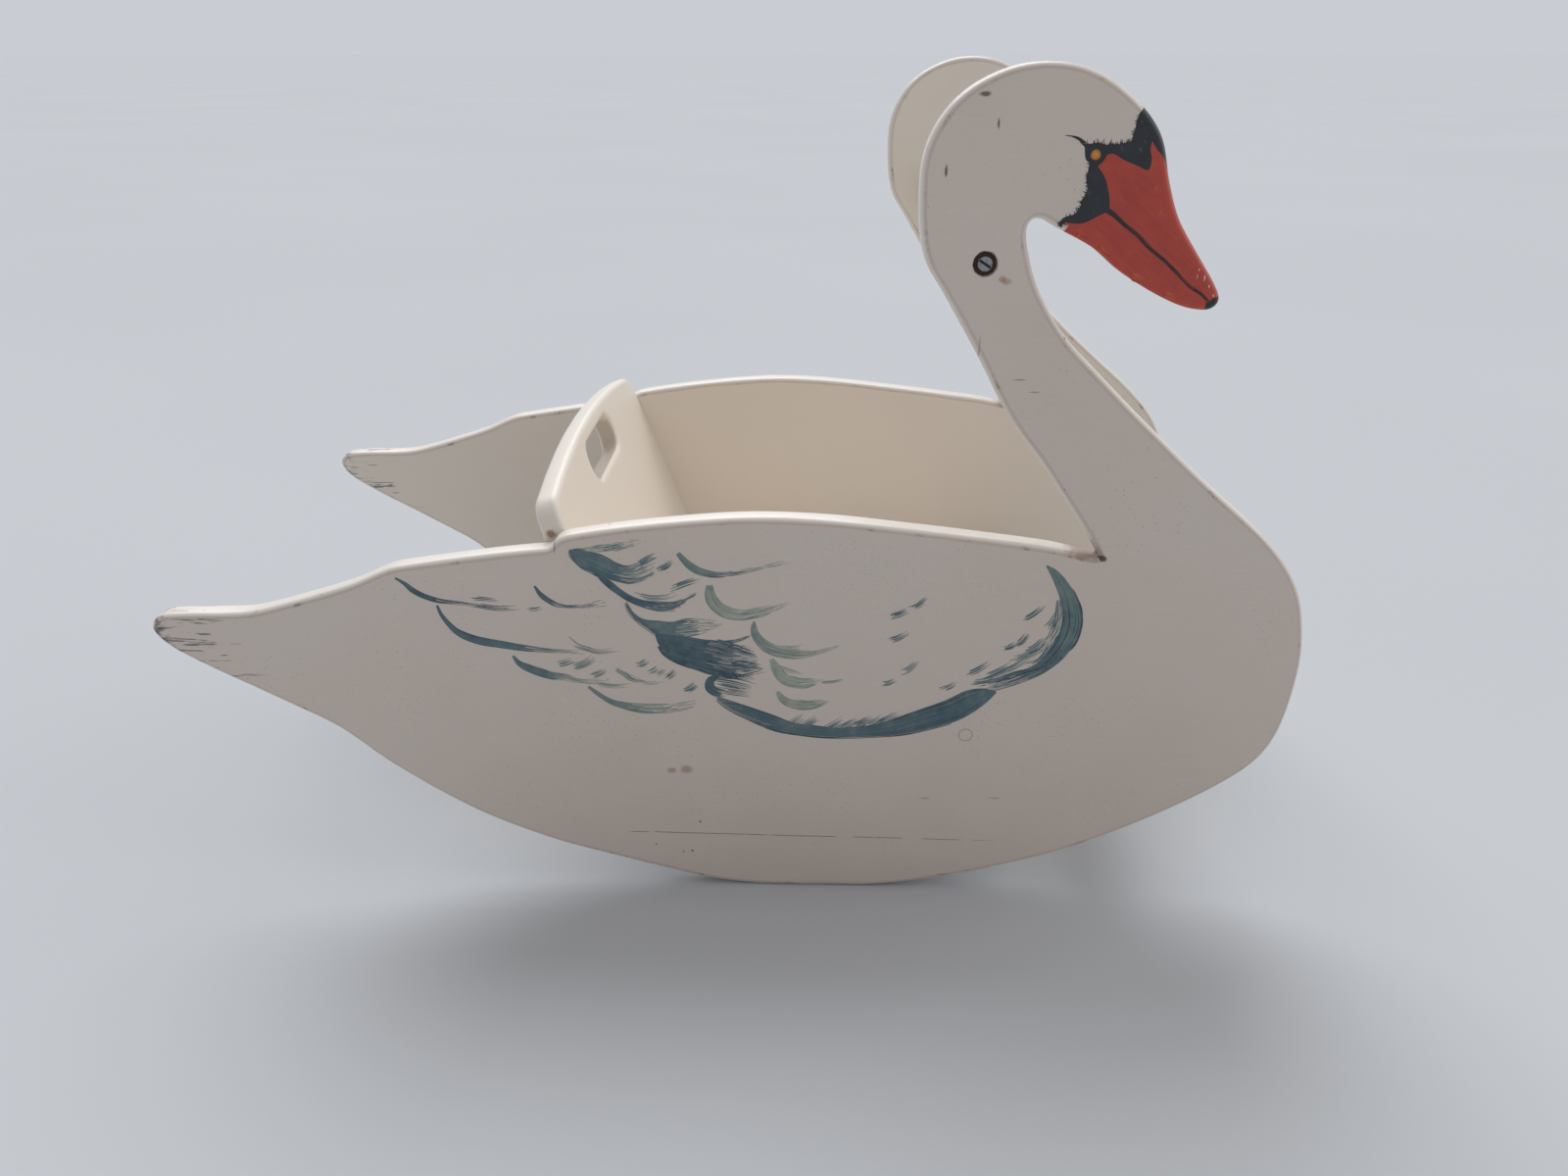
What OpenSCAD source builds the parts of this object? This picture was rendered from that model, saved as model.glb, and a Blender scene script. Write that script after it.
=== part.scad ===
// Swan-shaped rocking seat for a toddler.
// Two swan-shaped boards carry a seat, a leaning backrest, a foot board and a handlebar.
// +X points to the beak, +Y to the swan's left, +Z up. The origin is on the floor, below
// the middle of the length and the width.

/* [Swan boards] */
// Overall length, tip of the tail to the breast
swan_l = 825; // [700:5:990]
// Overall height, floor to the top of the head
swan_h = 595; // [495:5:715]
// Thickness of each swan board
board_t = 18; // [15:0.5:24]
// Clear width between the two boards
inside_w = 345; // [285:5:420]
// Length of the worn flat that each board rests on
rest_l = 80; // [60:5:100]

/* [Backrest] */
// Lean of the backrest from upright, in degrees
back_lean = 20; // [14:1:24]
// Thickness of the backrest
back_t = 18; // [15:0.5:22]
// Distance of its front face ahead of the step in the top edge
back_ahead = 11; // [8:0.5:14]
// Rise of its top corners above the step, along the face
back_rise = 31; // [26:1:36]
// Extra rise of the arched top at its middle
back_crown = 12; // [9:1:15]
// Radius of its top corners
back_corner_r = 20; // [15:1:24]
// Length of the hand hole
slot_l = 106; // [86:2:126]
// Height of the hand hole
slot_h = 31; // [25:1:36]
// Wood left between the hand hole and the top of the arch
slot_rail = 14; // [12:0.5:17]
// Length of the backrest below the seat
back_skirt = 8; // [4:1:16]

/* [Seat] */
// Depth of the seat, backrest to front edge
seat_depth = 245; // [200:5:294]
// Thickness of the seat
seat_t = 18; // [15:0.5:22]
// Height of the top of the seat's front edge above the floor
seat_front_h = 154; // [128:1:185]
// Fall of the seat towards the backrest, in degrees
seat_fall = 9; // [6:0.5:11]

/* [Foot board] */
// Width of the foot board, front to back
foot_w = 90; // [75:5:108]
// Thickness of the foot board
foot_t = 15; // [12:0.5:18]
// Wood left between the foot board and the lower edge of the swan boards
foot_gap = 22; // [18:1:28]

/* [Handlebar] */
// Diameter of the handlebar
handle_d = 22; // [18:0.5:26]
// Gap between each end of the handlebar and its board
handle_play = 0.3; // [0.2:0.05:0.5]
// Diameter of the handlebar's screws
pivot_d = 5; // [4:0.1:6]
// Running clearance around those screws, on the radius
pivot_gap = 0.2; // [0.15:0.01:0.3]
// Diameter of the screw's head
pivot_head_d = 9.2; // [8:0.1:10.5]
// Height of the screw's head
pivot_head_h = 2.6; // [2:0.1:3.2]
// Length of the screw, under its head
pivot_l = 50; // [42:1:60]
// Outside diameter of the washer under the head
washer_d = 14.4; // [12:0.2:16]
// Thickness of the washer
washer_t = 1.2; // [1:0.1:1.6]
// Clearance around the washer in its counterbore, on the radius
washer_gap = 0.5; // [0.3:0.05:0.8]

/* [Plugged screws] */
// Diameter of the wood screws in the board ends
screw_d = 4.5; // [3.5:0.1:5]
// Diameter of their countersunk heads
screw_head_d = 8.6; // [7.5:0.1:9.2]
// Length of the wood screws
screw_l = 45; // [38:1:54]
// Clearance around each wood screw, on the radius
screw_gap = 0.1; // [0.05:0.01:0.15]
// Diameter of the wooden plugs over the heads
plug_d = 10; // [9.6:0.1:12]
// Length of the plugs
plug_l = 6; // [5:0.5:7]
// Distance of the screws from the edges of the seat and the foot board
screw_inset = 18; // [14:1:22]

/* [Hidden] */
$fn = 48;

RIGHT = -1;
LEFT = 1;
cream = [0.86, 0.83, 0.77];
bare_wood = [0.72, 0.55, 0.37];
dull_steel = [0.55, 0.55, 0.56];
rusty_steel = [0.2, 0.15, 0.13];

// The outline is laid out for a swan 825 long and 595 high, and stretched to its real size.
function at(x, z) = [x * swan_l / 825, z * swan_h / 595];
function aim(a, b) = (b - a) / norm(b - a);
function heading(p, i) = aim(p[max(i - 1, 0)], p[min(i + 1, len(p) - 1)]);
function bezier(a, b, c, d, t) =
    a * pow(1 - t, 3) + b * 3 * t * pow(1 - t, 2) + c * 3 * t * t * (1 - t) + d * t * t * t;
// A smooth curve through the points p, without its last point
CURVE_STEPS = 4;
function curve(p) = [
    for (i = [0 : len(p) - 2])
        let (reach = norm(p[i + 1] - p[i]) / 3,
             b = p[i] + heading(p, i) * reach,
             c = p[i + 1] - heading(p, i + 1) * reach)
        for (k = [0 : CURVE_STEPS - 1]) bezier(p[i], b, c, p[i + 1], k / CURVE_STEPS)];
function arc(centre, r, from, to, steps = 6) =
    [for (k = [0 : steps]) let (a = from + (to - from) * k / steps)
        centre + r * [cos(a), sin(a)]];

// Landmarks of the swan's outline, in X and Z
neck_foot = at(262, 285);
step_foot = at(-117, 289);
step_top = at(-112, 296);
grip = at(169, 482);
rest_mid = at(65, 0);
rest_front = rest_mid + [rest_l / 2, 0];
rest_rear = rest_mid - [rest_l / 2, 0];
belly_low = at(259, 37);
belly_high = at(323, 69);
neck_back = [neck_foot, at(241, 317), at(218, 350), at(193, 382), at(169, 424), at(144, 465),
    at(132, 485), at(127.5, 517)];
head = [at(130, 549), at(146, 575), at(172, 590.5), at(200, 595), at(228, 589), at(252, 573),
    at(267, 555)];
beak = [at(275, 530), at(284, 508), at(300, 485), at(312, 468), at(315, 459), at(308, 454),
    at(288, 458), at(254, 476), at(234, 491.5)];
throat = [at(210, 503.5), at(198, 509), at(193, 503), at(196, 486), at(204, 465)];
breast = [at(222, 438), at(248, 412), at(285, 377), at(326, 340), at(368, 304), at(392, 277),
    at(406, 247), at(412.5, 204), at(408, 153), at(396, 124), at(372, 101)];
belly = [belly_high, belly_low, at(200, 18), at(145, 5), rest_front];
rump = [rest_rear, at(-12, 4.5), at(-77, 22), at(-139, 41.5), at(-197, 69), at(-254, 109),
    at(-281, 134), at(-296, 145), at(-350, 176), at(-381, 194)];
tail = [at(-402, 208), at(-412.5, 222), at(-407, 232), at(-392, 235), at(-345, 236.5),
    at(-322, 241), at(-262, 259.5), at(-238, 270), at(-226, 274), at(-158, 284.5), step_foot];
wing = [step_top, at(-104, 299), at(-63, 305.5), at(-7, 311.5), at(34, 313.3), at(76, 311.5),
    at(125, 306.5), at(187, 299), at(227, 293.5), neck_foot];
outline = concat(curve(concat(neck_back, head, beak, throat, breast, belly)), [rest_front],
    curve(concat(rump, tail)), [step_foot], curve(wing));

// Backrest: a point at rise z on its front face, and depth t behind that face
function back_at(z, t = 0) = step_foot + [back_ahead, 0]
    + z * [-sin(back_lean), cos(back_lean)] - t * [cos(back_lean), sin(back_lean)];
// Seat: a point at distance d ahead of the backrest and depth t below the seat's top
seat_rear_h = seat_front_h - seat_depth * sin(seat_fall);
seat_on_back = (seat_rear_h - step_foot[1]) / cos(back_lean);
function seat_at(d, t = 0) = back_at(seat_on_back)
    + d * [cos(seat_fall), sin(seat_fall)] + t * [sin(seat_fall), -cos(seat_fall)];
// Foot board: a point at distance d up its slope and depth t below its top
foot_run = aim(belly_low, belly_high);
foot_rise = [-foot_run[1], foot_run[0]];
foot_slope = atan2(foot_run[1], foot_run[0]);
function foot_at(d, t = 0) = belly_low + d * foot_run + (foot_gap + foot_t - t) * foot_rise;

corner_angle = back_lean - seat_fall;
back_bottom = seat_on_back - seat_t / cos(corner_angle) - back_skirt;
back_screw_drop = 38;
slot_mid = back_rise + back_crown - slot_rail - slot_h / 2;
seat_nose_r = 7;
foot_nose_r = 5;
slot_in_head = 1.4;
slot_turn = 33;

seat_screws = [seat_at(screw_inset, seat_t / 2), seat_at(seat_depth - screw_inset, seat_t / 2)];
back_screws = [back_at(-back_screw_drop, back_t / 2),
    back_at(seat_on_back + back_screw_drop, back_t / 2)];
foot_screws = [foot_at(screw_inset, foot_t / 2), foot_at(foot_w - screw_inset, foot_t / 2)];
cbore_depth = washer_t + pivot_head_h + 0.5;

// Stands a flat X-Z shape up, thick from the plane y towards +Y
module upright(y, thick) {
    translate([0, y + thick, 0]) rotate([90, 0, 0]) linear_extrude(thick) children();
}

// Places its children at the outer face of one board, with +Z pointing into the board
module on_face(p, side) {
    translate([p[0], side * (inside_w / 2 + board_t), p[1]]) rotate([side * 90, 0, 0]) children();
}

// Countersunk wood screw with its head at z = 0, grown by gap for the hole that it leaves
module wood_screw(gap = 0) {
    head_h = (screw_head_d - screw_d) / 2;
    tip_h = 4;
    difference() {
        rotate_extrude() polygon([[0, -gap], [screw_head_d / 2 + gap, -gap],
            [screw_head_d / 2 + gap, 0], [screw_d / 2 + gap, head_h],
            [screw_d / 2 + gap, screw_l - tip_h], [0.4 + gap, screw_l + gap],
            [0, screw_l + gap]]);
        if (gap == 0) translate([-screw_head_d, -slot_in_head / 2, -1])
            cube([2 * screw_head_d, slot_in_head, 2.2]);
    }
}

module screws(places, side) {
    color(dull_steel) for (p = places) on_face(p, side) translate([0, 0, plug_l]) wood_screw();
}

module plugs(places, side) {
    color(cream) for (p = places) on_face(p, side) cylinder(d = plug_d, h = plug_l - screw_gap);
}

module screw_holes(places, side) {
    for (p = places) on_face(p, side) {
        translate([0, 0, plug_l]) wood_screw(screw_gap);
        translate([0, 0, -1]) cylinder(r = plug_d / 2 + screw_gap, h = plug_l + 1);
    }
}

// Swan-shaped board with its plugged screw holes and the handlebar's counterbored hole
module side_board(side) {
    color(cream) difference() {
        upright(side > 0 ? inside_w / 2 : -inside_w / 2 - board_t, board_t) polygon(outline);
        for (places = [seat_screws, back_screws, foot_screws]) screw_holes(places, side);
        on_face(grip, side) {
            translate([0, 0, -1]) cylinder(r = washer_d / 2 + washer_gap, h = cbore_depth + 1);
            cylinder(r = pivot_d / 2 + pivot_gap, h = board_t + 1);
        }
    }
}

module seat_board() {
    nose = [seat_depth - seat_nose_r, -seat_nose_r];
    low_nose = [seat_depth - seat_nose_r, seat_nose_r - seat_t];
    rear = seat_at(0);
    color(cream) difference() {
        translate([rear[0], 0, rear[1]]) rotate([0, -seat_fall, 0])
            upright(-inside_w / 2, inside_w) polygon(concat([[0, 0]], arc(nose, seat_nose_r, 90, 0),
                arc(low_nose, seat_nose_r, 0, -90), [[seat_t * tan(corner_angle), -seat_t]]));
        for (side = [RIGHT, LEFT]) screw_holes(seat_screws, side);
    }
}

// Arched board with a hand hole, drawn flat in Y and Z and leaned back about the seat
module back_board() {
    half = inside_w / 2;
    root = back_at(0);
    steps = 16;
    corner = [half - back_corner_r, back_rise - back_corner_r];
    arch_end = half - back_corner_r;
    right_side = concat([[half, back_bottom]], arc(corner, back_corner_r, 0, 80));
    arch = [for (k = [1 : 2 * steps - 1]) let (y = arch_end * (1 - k / steps))
        [y, back_rise + back_crown * (1 - pow(y / arch_end, 2))]];
    left_side = [for (k = [len(right_side) - 1 : -1 : 0]) [-right_side[k][0], right_side[k][1]]];
    color(cream) difference() {
        translate([root[0], 0, root[1]]) rotate([0, -back_lean, 0]) rotate([90, 0, -90])
            linear_extrude(back_t) difference() {
                polygon(concat(right_side, arch, left_side));
                translate([0, slot_mid]) {
                    square([slot_l - slot_h, slot_h], center = true);
                    for (s = [-1, 1]) translate([s * (slot_l - slot_h) / 2, 0]) circle(d = slot_h);
                }
            }
        for (side = [RIGHT, LEFT]) screw_holes(back_screws, side);
    }
}

module foot_board() {
    low = foot_at(0);
    ends = [[foot_w - foot_nose_r, 0], [foot_nose_r, 180]];
    color(cream) difference() {
        translate([low[0], 0, low[1]]) rotate([0, -foot_slope, 0])
            upright(-inside_w / 2, inside_w) polygon([for (e = ends)
                for (q = concat(arc([e[0], e[1] == 0 ? -foot_nose_r : foot_nose_r - foot_t],
                        foot_nose_r, 90 - e[1], -e[1]),
                    arc([e[0], e[1] == 0 ? foot_nose_r - foot_t : -foot_nose_r],
                        foot_nose_r, -e[1], -90 - e[1]))) q]);
        for (side = [RIGHT, LEFT]) screw_holes(foot_screws, side);
    }
}

// Plain turned bar between the necks, drilled at both ends for its screws
module handlebar() {
    bar_l = inside_w - 2 * handle_play;
    color(cream) translate([grip[0], 0, grip[1]]) rotate([90, 0, 0]) difference() {
        cylinder(d = handle_d, h = bar_l, center = true);
        for (side = [RIGHT, LEFT]) translate([0, 0, side * (bar_l / 2 + 1 - bite() / 2)])
            cylinder(r = pivot_d / 2 + screw_gap, h = bite() + 2, center = true);
    }
}
// Length of screw that is inside the bar, with a little room at the end of its hole
function bite() = pivot_l - (board_t - cbore_depth) + washer_t + 2;

module handle_screw(side) {
    color(dull_steel) on_face(grip, side)
        translate([0, 0, cbore_depth - washer_t - pivot_head_h - pivot_gap]) difference() {
            union() {
                cylinder(d = pivot_head_d, h = pivot_head_h);
                cylinder(d = pivot_d, h = pivot_head_h + pivot_l);
            }
            rotate([0, 0, -side * slot_turn]) translate([-pivot_head_d, -slot_in_head / 2, -1])
                cube([2 * pivot_head_d, slot_in_head, 2.2]);
        }
}

module washer(side) {
    color(rusty_steel) on_face(grip, side) translate([0, 0, cbore_depth - washer_t]) difference() {
        cylinder(d = washer_d, h = washer_t);
        translate([0, 0, -1]) cylinder(r = pivot_d / 2 + pivot_gap, h = washer_t + 2);
    }
}

side_board(RIGHT);  // side_board_right
side_board(LEFT);  // side_board_left
seat_board();
back_board();
foot_board();
handlebar();
handle_screw(RIGHT);  // handle_screw_right
handle_screw(LEFT);  // handle_screw_left
washer(RIGHT);  // washer_right
washer(LEFT);  // washer_left
screws(seat_screws, RIGHT);  // seat_screws_right
screws(seat_screws, LEFT);  // seat_screws_left
plugs(seat_screws, RIGHT);  // seat_plugs_right
plugs(seat_screws, LEFT);  // seat_plugs_left
screws(back_screws, RIGHT);  // back_screws_right
screws(back_screws, LEFT);  // back_screws_left
plugs(back_screws, RIGHT);  // back_plugs_right
plugs(back_screws, LEFT);  // back_plugs_left
screws(foot_screws, RIGHT);  // foot_screws_right
screws(foot_screws, LEFT);  // foot_screws_left
plugs(foot_screws, RIGHT);  // foot_plugs_right
plugs(foot_screws, LEFT);  // foot_plugs_left
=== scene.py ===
"""Looks of the swan rocker: two hand-painted swan boards with a seat, backrest, foot board and handlebar.

The right board (-Y) faces the camera. Lengths are in metres; painted marks are laid out in millimetres,
in X and Z of the shared frame, on the outer face of a board."""
import math
import random

import bmesh
import bpy
import numpy as np
from mathutils import Matrix, Vector, noise
from mathutils.geometry import tessellate_polygon


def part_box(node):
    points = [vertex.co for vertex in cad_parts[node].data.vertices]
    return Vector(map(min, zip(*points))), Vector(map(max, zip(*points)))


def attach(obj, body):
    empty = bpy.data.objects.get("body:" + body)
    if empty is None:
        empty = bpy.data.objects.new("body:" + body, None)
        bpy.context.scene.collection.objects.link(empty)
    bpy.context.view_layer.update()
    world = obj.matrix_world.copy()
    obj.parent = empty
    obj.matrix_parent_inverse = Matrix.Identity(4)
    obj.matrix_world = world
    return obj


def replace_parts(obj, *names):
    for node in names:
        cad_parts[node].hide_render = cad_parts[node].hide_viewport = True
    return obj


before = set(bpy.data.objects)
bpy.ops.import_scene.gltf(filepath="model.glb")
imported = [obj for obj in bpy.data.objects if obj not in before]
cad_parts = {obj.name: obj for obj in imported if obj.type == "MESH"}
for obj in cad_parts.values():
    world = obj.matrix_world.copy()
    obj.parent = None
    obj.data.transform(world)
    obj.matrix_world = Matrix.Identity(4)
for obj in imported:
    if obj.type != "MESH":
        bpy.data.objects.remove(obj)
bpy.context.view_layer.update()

MM = 0.001
RIGHT, LEFT = -1, 1
SIDES = {"right": RIGHT, "left": LEFT}

# Sizes of the finish
FACE_INSET = 0.3 * MM       # room for the relief of the painted marks inside the CAD box
ROUND_OVER = 4.6 * MM       # rounded edges of the boards
CORNER = 1.6 * MM           # radius that sanding leaves on the corners of the swan's outline
SHARP_EDGE = 0.5 * MM       # edges that butt against another board
SPACING = 1.6 * MM          # distance between the points of a board's outline
SUPPORT = 1.0 * MM          # flat ring between a rounded edge and the face
EDGE_STEPS = 6              # facets across a rounded edge
COAT = 0.12 * MM            # thickness of a coat of paint over the ground coat
SUNK = 0.05 * MM            # how far painted marks reach into the ground coat
BRISTLE = 0.55              # mm between the marks of a brush's bristles
ROUND = 56                  # facets round a bore and a plug
COAT_TEETH = 9              # points along the ragged end of the coat under a brush stroke
PIVOT_HOLE = 2.7 * MM       # radius of the handle screw's hole in a board and in the washer
PIVOT_SHAFT = 2.45 * MM     # radius of the handle screw
HEAD_HEIGHT = 2.6 * MM      # height of its head
SLOT_DEPTH = 1.2 * MM
SLOT_HALF = 0.7 * MM        # half of the slot's width
SLOT_TURN = -33             # degrees from +X to the slot
DIRT_DEPTH = 0.5 * MM       # from the top of the head down to the dirt in its slot
DIRT_END = 0.5 * MM         # from the rim of the head to the end of the dirt
BAR_CHAMFER = 1 * MM        # at the ends of the handlebar
WASHER_ROOM = 0.4 * MM      # clearance of the washer in its counterbore
SCREW_SHARE = 0.48          # radius of a plugged screw's hole, as a share of the plug's
STEP = (-0.117, 0, 0.291)   # step in the boards' top edges, above which the backrest is rounded


# ---------------------------------------------------------------- shapes cut from boards

def centre(node):
    low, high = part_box(node)
    return (low + high) / 2


def main_normal(node, toward):
    """Normal of the node's largest flat face that looks roughly toward the given direction."""
    areas = {}
    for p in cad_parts[node].data.polygons:
        if p.normal.dot(Vector(toward)) > 0.5:
            key = tuple(round(c, 3) for c in p.normal)
            areas[key] = areas.get(key, 0) + p.area
    return Vector(max(areas, key=areas.get)).normalized()


def face_loops(node, u, v, n):
    """Outline and holes of the node's outermost face along n, as closed loops of points in u and v.
    The outline comes first and runs anticlockwise; holes run clockwise, so material is on the left."""
    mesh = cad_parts[node].data
    front = max(n.dot(w.co) for w in mesh.vertices)
    edges = {}
    for p in mesh.polygons:
        corners = [mesh.vertices[i].co for i in p.vertices]
        if p.normal.dot(n) < 0.99 or min(n.dot(c) for c in corners) < front - 0.05 * MM:
            continue
        flat = [(round(u.dot(c), 6), round(v.dot(c), 6)) for c in corners]
        if sum(a[0] * b[1] - b[0] * a[1] for a, b in zip(flat, flat[1:] + flat[:1])) < 0:
            flat.reverse()
        for a, b in zip(flat, flat[1:] + flat[:1]):
            if (b, a) in edges:
                del edges[b, a]
            else:
                edges[a, b] = True
    following = {}
    for a, b in edges:
        following.setdefault(a, []).append(b)
    loops = []
    while following:
        start = next(iter(following))
        loop, here = [], start
        while here in following:
            loop.append(here)
            ways = following[here]
            there = ways.pop()
            if not ways:
                del following[here]
            here = there
        loops.append(np.array(loop))
    loops.sort(key=lambda q: -abs(loop_area(q)))
    return loops, front


def loop_area(loop):
    x, y = loop[:, 0], loop[:, 1]
    return (x * np.roll(y, -1) - y * np.roll(x, -1)).sum() / 2


def resample(loop, spacing):
    """The closed loop as evenly spaced points."""
    closed = np.vstack([loop, loop[:1]])
    along = np.concatenate([[0], np.cumsum(np.linalg.norm(np.diff(closed, axis=0), axis=1))])
    count = max(12, int(round(along[-1] / spacing)))
    places = np.arange(count) * along[-1] / count
    return np.stack([np.interp(places, along, closed[:, k]) for k in (0, 1)], axis=1)


def soften(loop, reach, spacing):
    """Blurs the loop along its length, so that facets vanish and corners get a radius of about reach."""
    for _ in range(int(2 * (reach / spacing) ** 2)):
        loop = (np.roll(loop, 1, 0) + 2 * loop + np.roll(loop, -1, 0)) / 4
    return loop


def inward(loop):
    """Unit normals of the loop, pointing into the material on its left."""
    along = np.roll(loop, -1, 0) - np.roll(loop, 1, 0)
    normal = np.stack([-along[:, 1], along[:, 0]], axis=1)
    return normal / np.maximum(np.linalg.norm(normal, axis=1), 1e-12)[:, None]


def advance(loop, distance):
    """Moves each point of the loop into the material by its own distance, in small steps."""
    steps = max(1, int(math.ceil(distance.max() / (0.4 * MM))))
    for _ in range(steps):
        loop = loop + inward(loop) * (distance / steps)[:, None]
        loop = 0.1 * np.roll(loop, 1, 0) + 0.8 * loop + 0.1 * np.roll(loop, -1, 0)
    return loop


def wobble(loop, size, seed):
    """Slow, small variation along the loop, as a hand-held sander leaves."""
    return np.array([1 + size * noise.noise(Vector((p[0] * 28, p[1] * 28, seed))) for p in loop])


def band(a, b, count):
    """Faces between two closed rings of count vertices, which start at the indices a and b."""
    return [(a + i, a + (i + 1) % count, b + (i + 1) % count, b + i) for i in range(count)]


class Board:
    """A flat board with rounded edges and bores. u and v span its face and n points out of its front."""

    def __init__(self, u, v, n, front, thickness):
        self.u, self.v, self.n = Vector(u), Vector(v), Vector(n)
        self.front, self.thickness = front, thickness
        self.verts, self.faces, self.rims = [], [], []
        self.openings = {"front": [], "back": []}

    def place(self, p, depth):
        return self.u * float(p[0]) + self.v * float(p[1]) + self.n * (self.front - depth)

    def ring(self, loop, depth, rim):
        """Adds a ring of vertices, depth under the front face, and returns its first index."""
        depths = depth if hasattr(depth, "__len__") else [depth] * len(loop)
        first = len(self.verts)
        self.verts += [self.place(p, d) for p, d in zip(loop, depths)]
        self.rims += [rim] * len(loop)
        return first

    def join(self, a, b, count):
        self.faces += band(a, b, count)

    def edge(self, loop, radius):
        """Closes the board along an outline or a hole, with both of its edges rounded by radius.
        Returns the rings from front to back as (loop, depths, tilt), for paint that wraps the edge."""
        half = []
        ring, done = loop, np.zeros(len(loop))
        for k in range(EDGE_STEPS + 1):
            angle = math.pi / 2 * k / EDGE_STEPS
            inset = radius * (1 - math.cos(angle))
            ring = advance(ring, inset - done)
            done = inset
            half.append((ring, radius * (1 - math.sin(angle)), angle))
        face = advance(ring, np.full(len(ring), SUPPORT))
        rings = [(r, d, a) for r, d, a in reversed(half)]
        rings += [(r, self.thickness - d, -a) for r, d, a in half]
        firsts = [self.ring(face, 0.0, 0.0)]
        firsts += [self.ring(r, d, math.cos(a)) for r, d, a in rings]
        firsts.append(self.ring(face, self.thickness, 0.0))
        for a, b in zip(firsts, firsts[1:]):
            self.join(a, b, len(loop))
        self.openings["front"].append((firsts[0], len(loop)))
        self.openings["back"].append((firsts[-1], len(loop)))
        return rings

    def bore(self, middle, profile, roughness=0.0, count=ROUND):
        """A round through hole; profile lists its (radius, depth) from the front face to the back."""
        firsts = []
        for k, (radius, depth) in enumerate(profile):
            loop = []
            for i in range(count):
                angle = -2 * math.pi * i / count
                spread = noise.noise(Vector((math.cos(angle) * 3, math.sin(angle) * 3, 7)))
                r = radius * (1 + (roughness * spread if k < 2 else 0))
                loop.append((middle[0] + r * math.cos(angle), middle[1] + r * math.sin(angle)))
            firsts.append(self.ring(np.array(loop), depth, 0.0))
        for a, b in zip(firsts, firsts[1:]):
            self.join(a, b, count)
        self.openings["front"].append((firsts[0], count))
        self.openings["back"].append((firsts[-1], count))

    def close(self):
        """Fills the front and the back face between the outline and the holes."""
        for rings in self.openings.values():
            lists, index = [], []
            for first, count in rings:
                index += range(first, first + count)
                lists.append([Vector((p.dot(self.u), p.dot(self.v), 0))
                              for p in self.verts[first:first + count]])
            self.faces += [tuple(index[i] for i in t) for t in tessellate_polygon(lists)]

    def build(self, name):
        self.close()
        return mesh_object(name, self.verts, self.faces, {"rim": self.rims})


def mesh_object(name, verts, faces, attributes=None, smooth_angle=35):
    """A mesh object with outward normals, smooth below the given angle."""
    mesh = bpy.data.meshes.new(name)
    mesh.from_pydata([tuple(v) for v in verts], [], faces)
    for key, values in (attributes or {}).items():
        mesh.attributes.new(key, "FLOAT", "POINT").data.foreach_set("value", np.array(values, np.float32))
    bm = bmesh.new()
    bm.from_mesh(mesh)
    bmesh.ops.recalc_face_normals(bm, faces=bm.faces)
    bm.to_mesh(mesh)
    bm.free()
    mesh.shade_smooth()
    mesh.set_sharp_from_angle(angle=math.radians(smooth_angle))
    obj = bpy.data.objects.new(name, mesh)
    bpy.context.scene.collection.objects.link(obj)
    return obj


# ---------------------------------------------------------------- materials

def srgb(r, g, b):
    """Linear colour of an sRGB colour given in 0 to 255."""
    return tuple((c / 255 / 12.92 if c <= 10 else ((c / 255 + 0.055) / 1.055) ** 2.4)
                 for c in (r, g, b)) + (1.0,)


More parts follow.
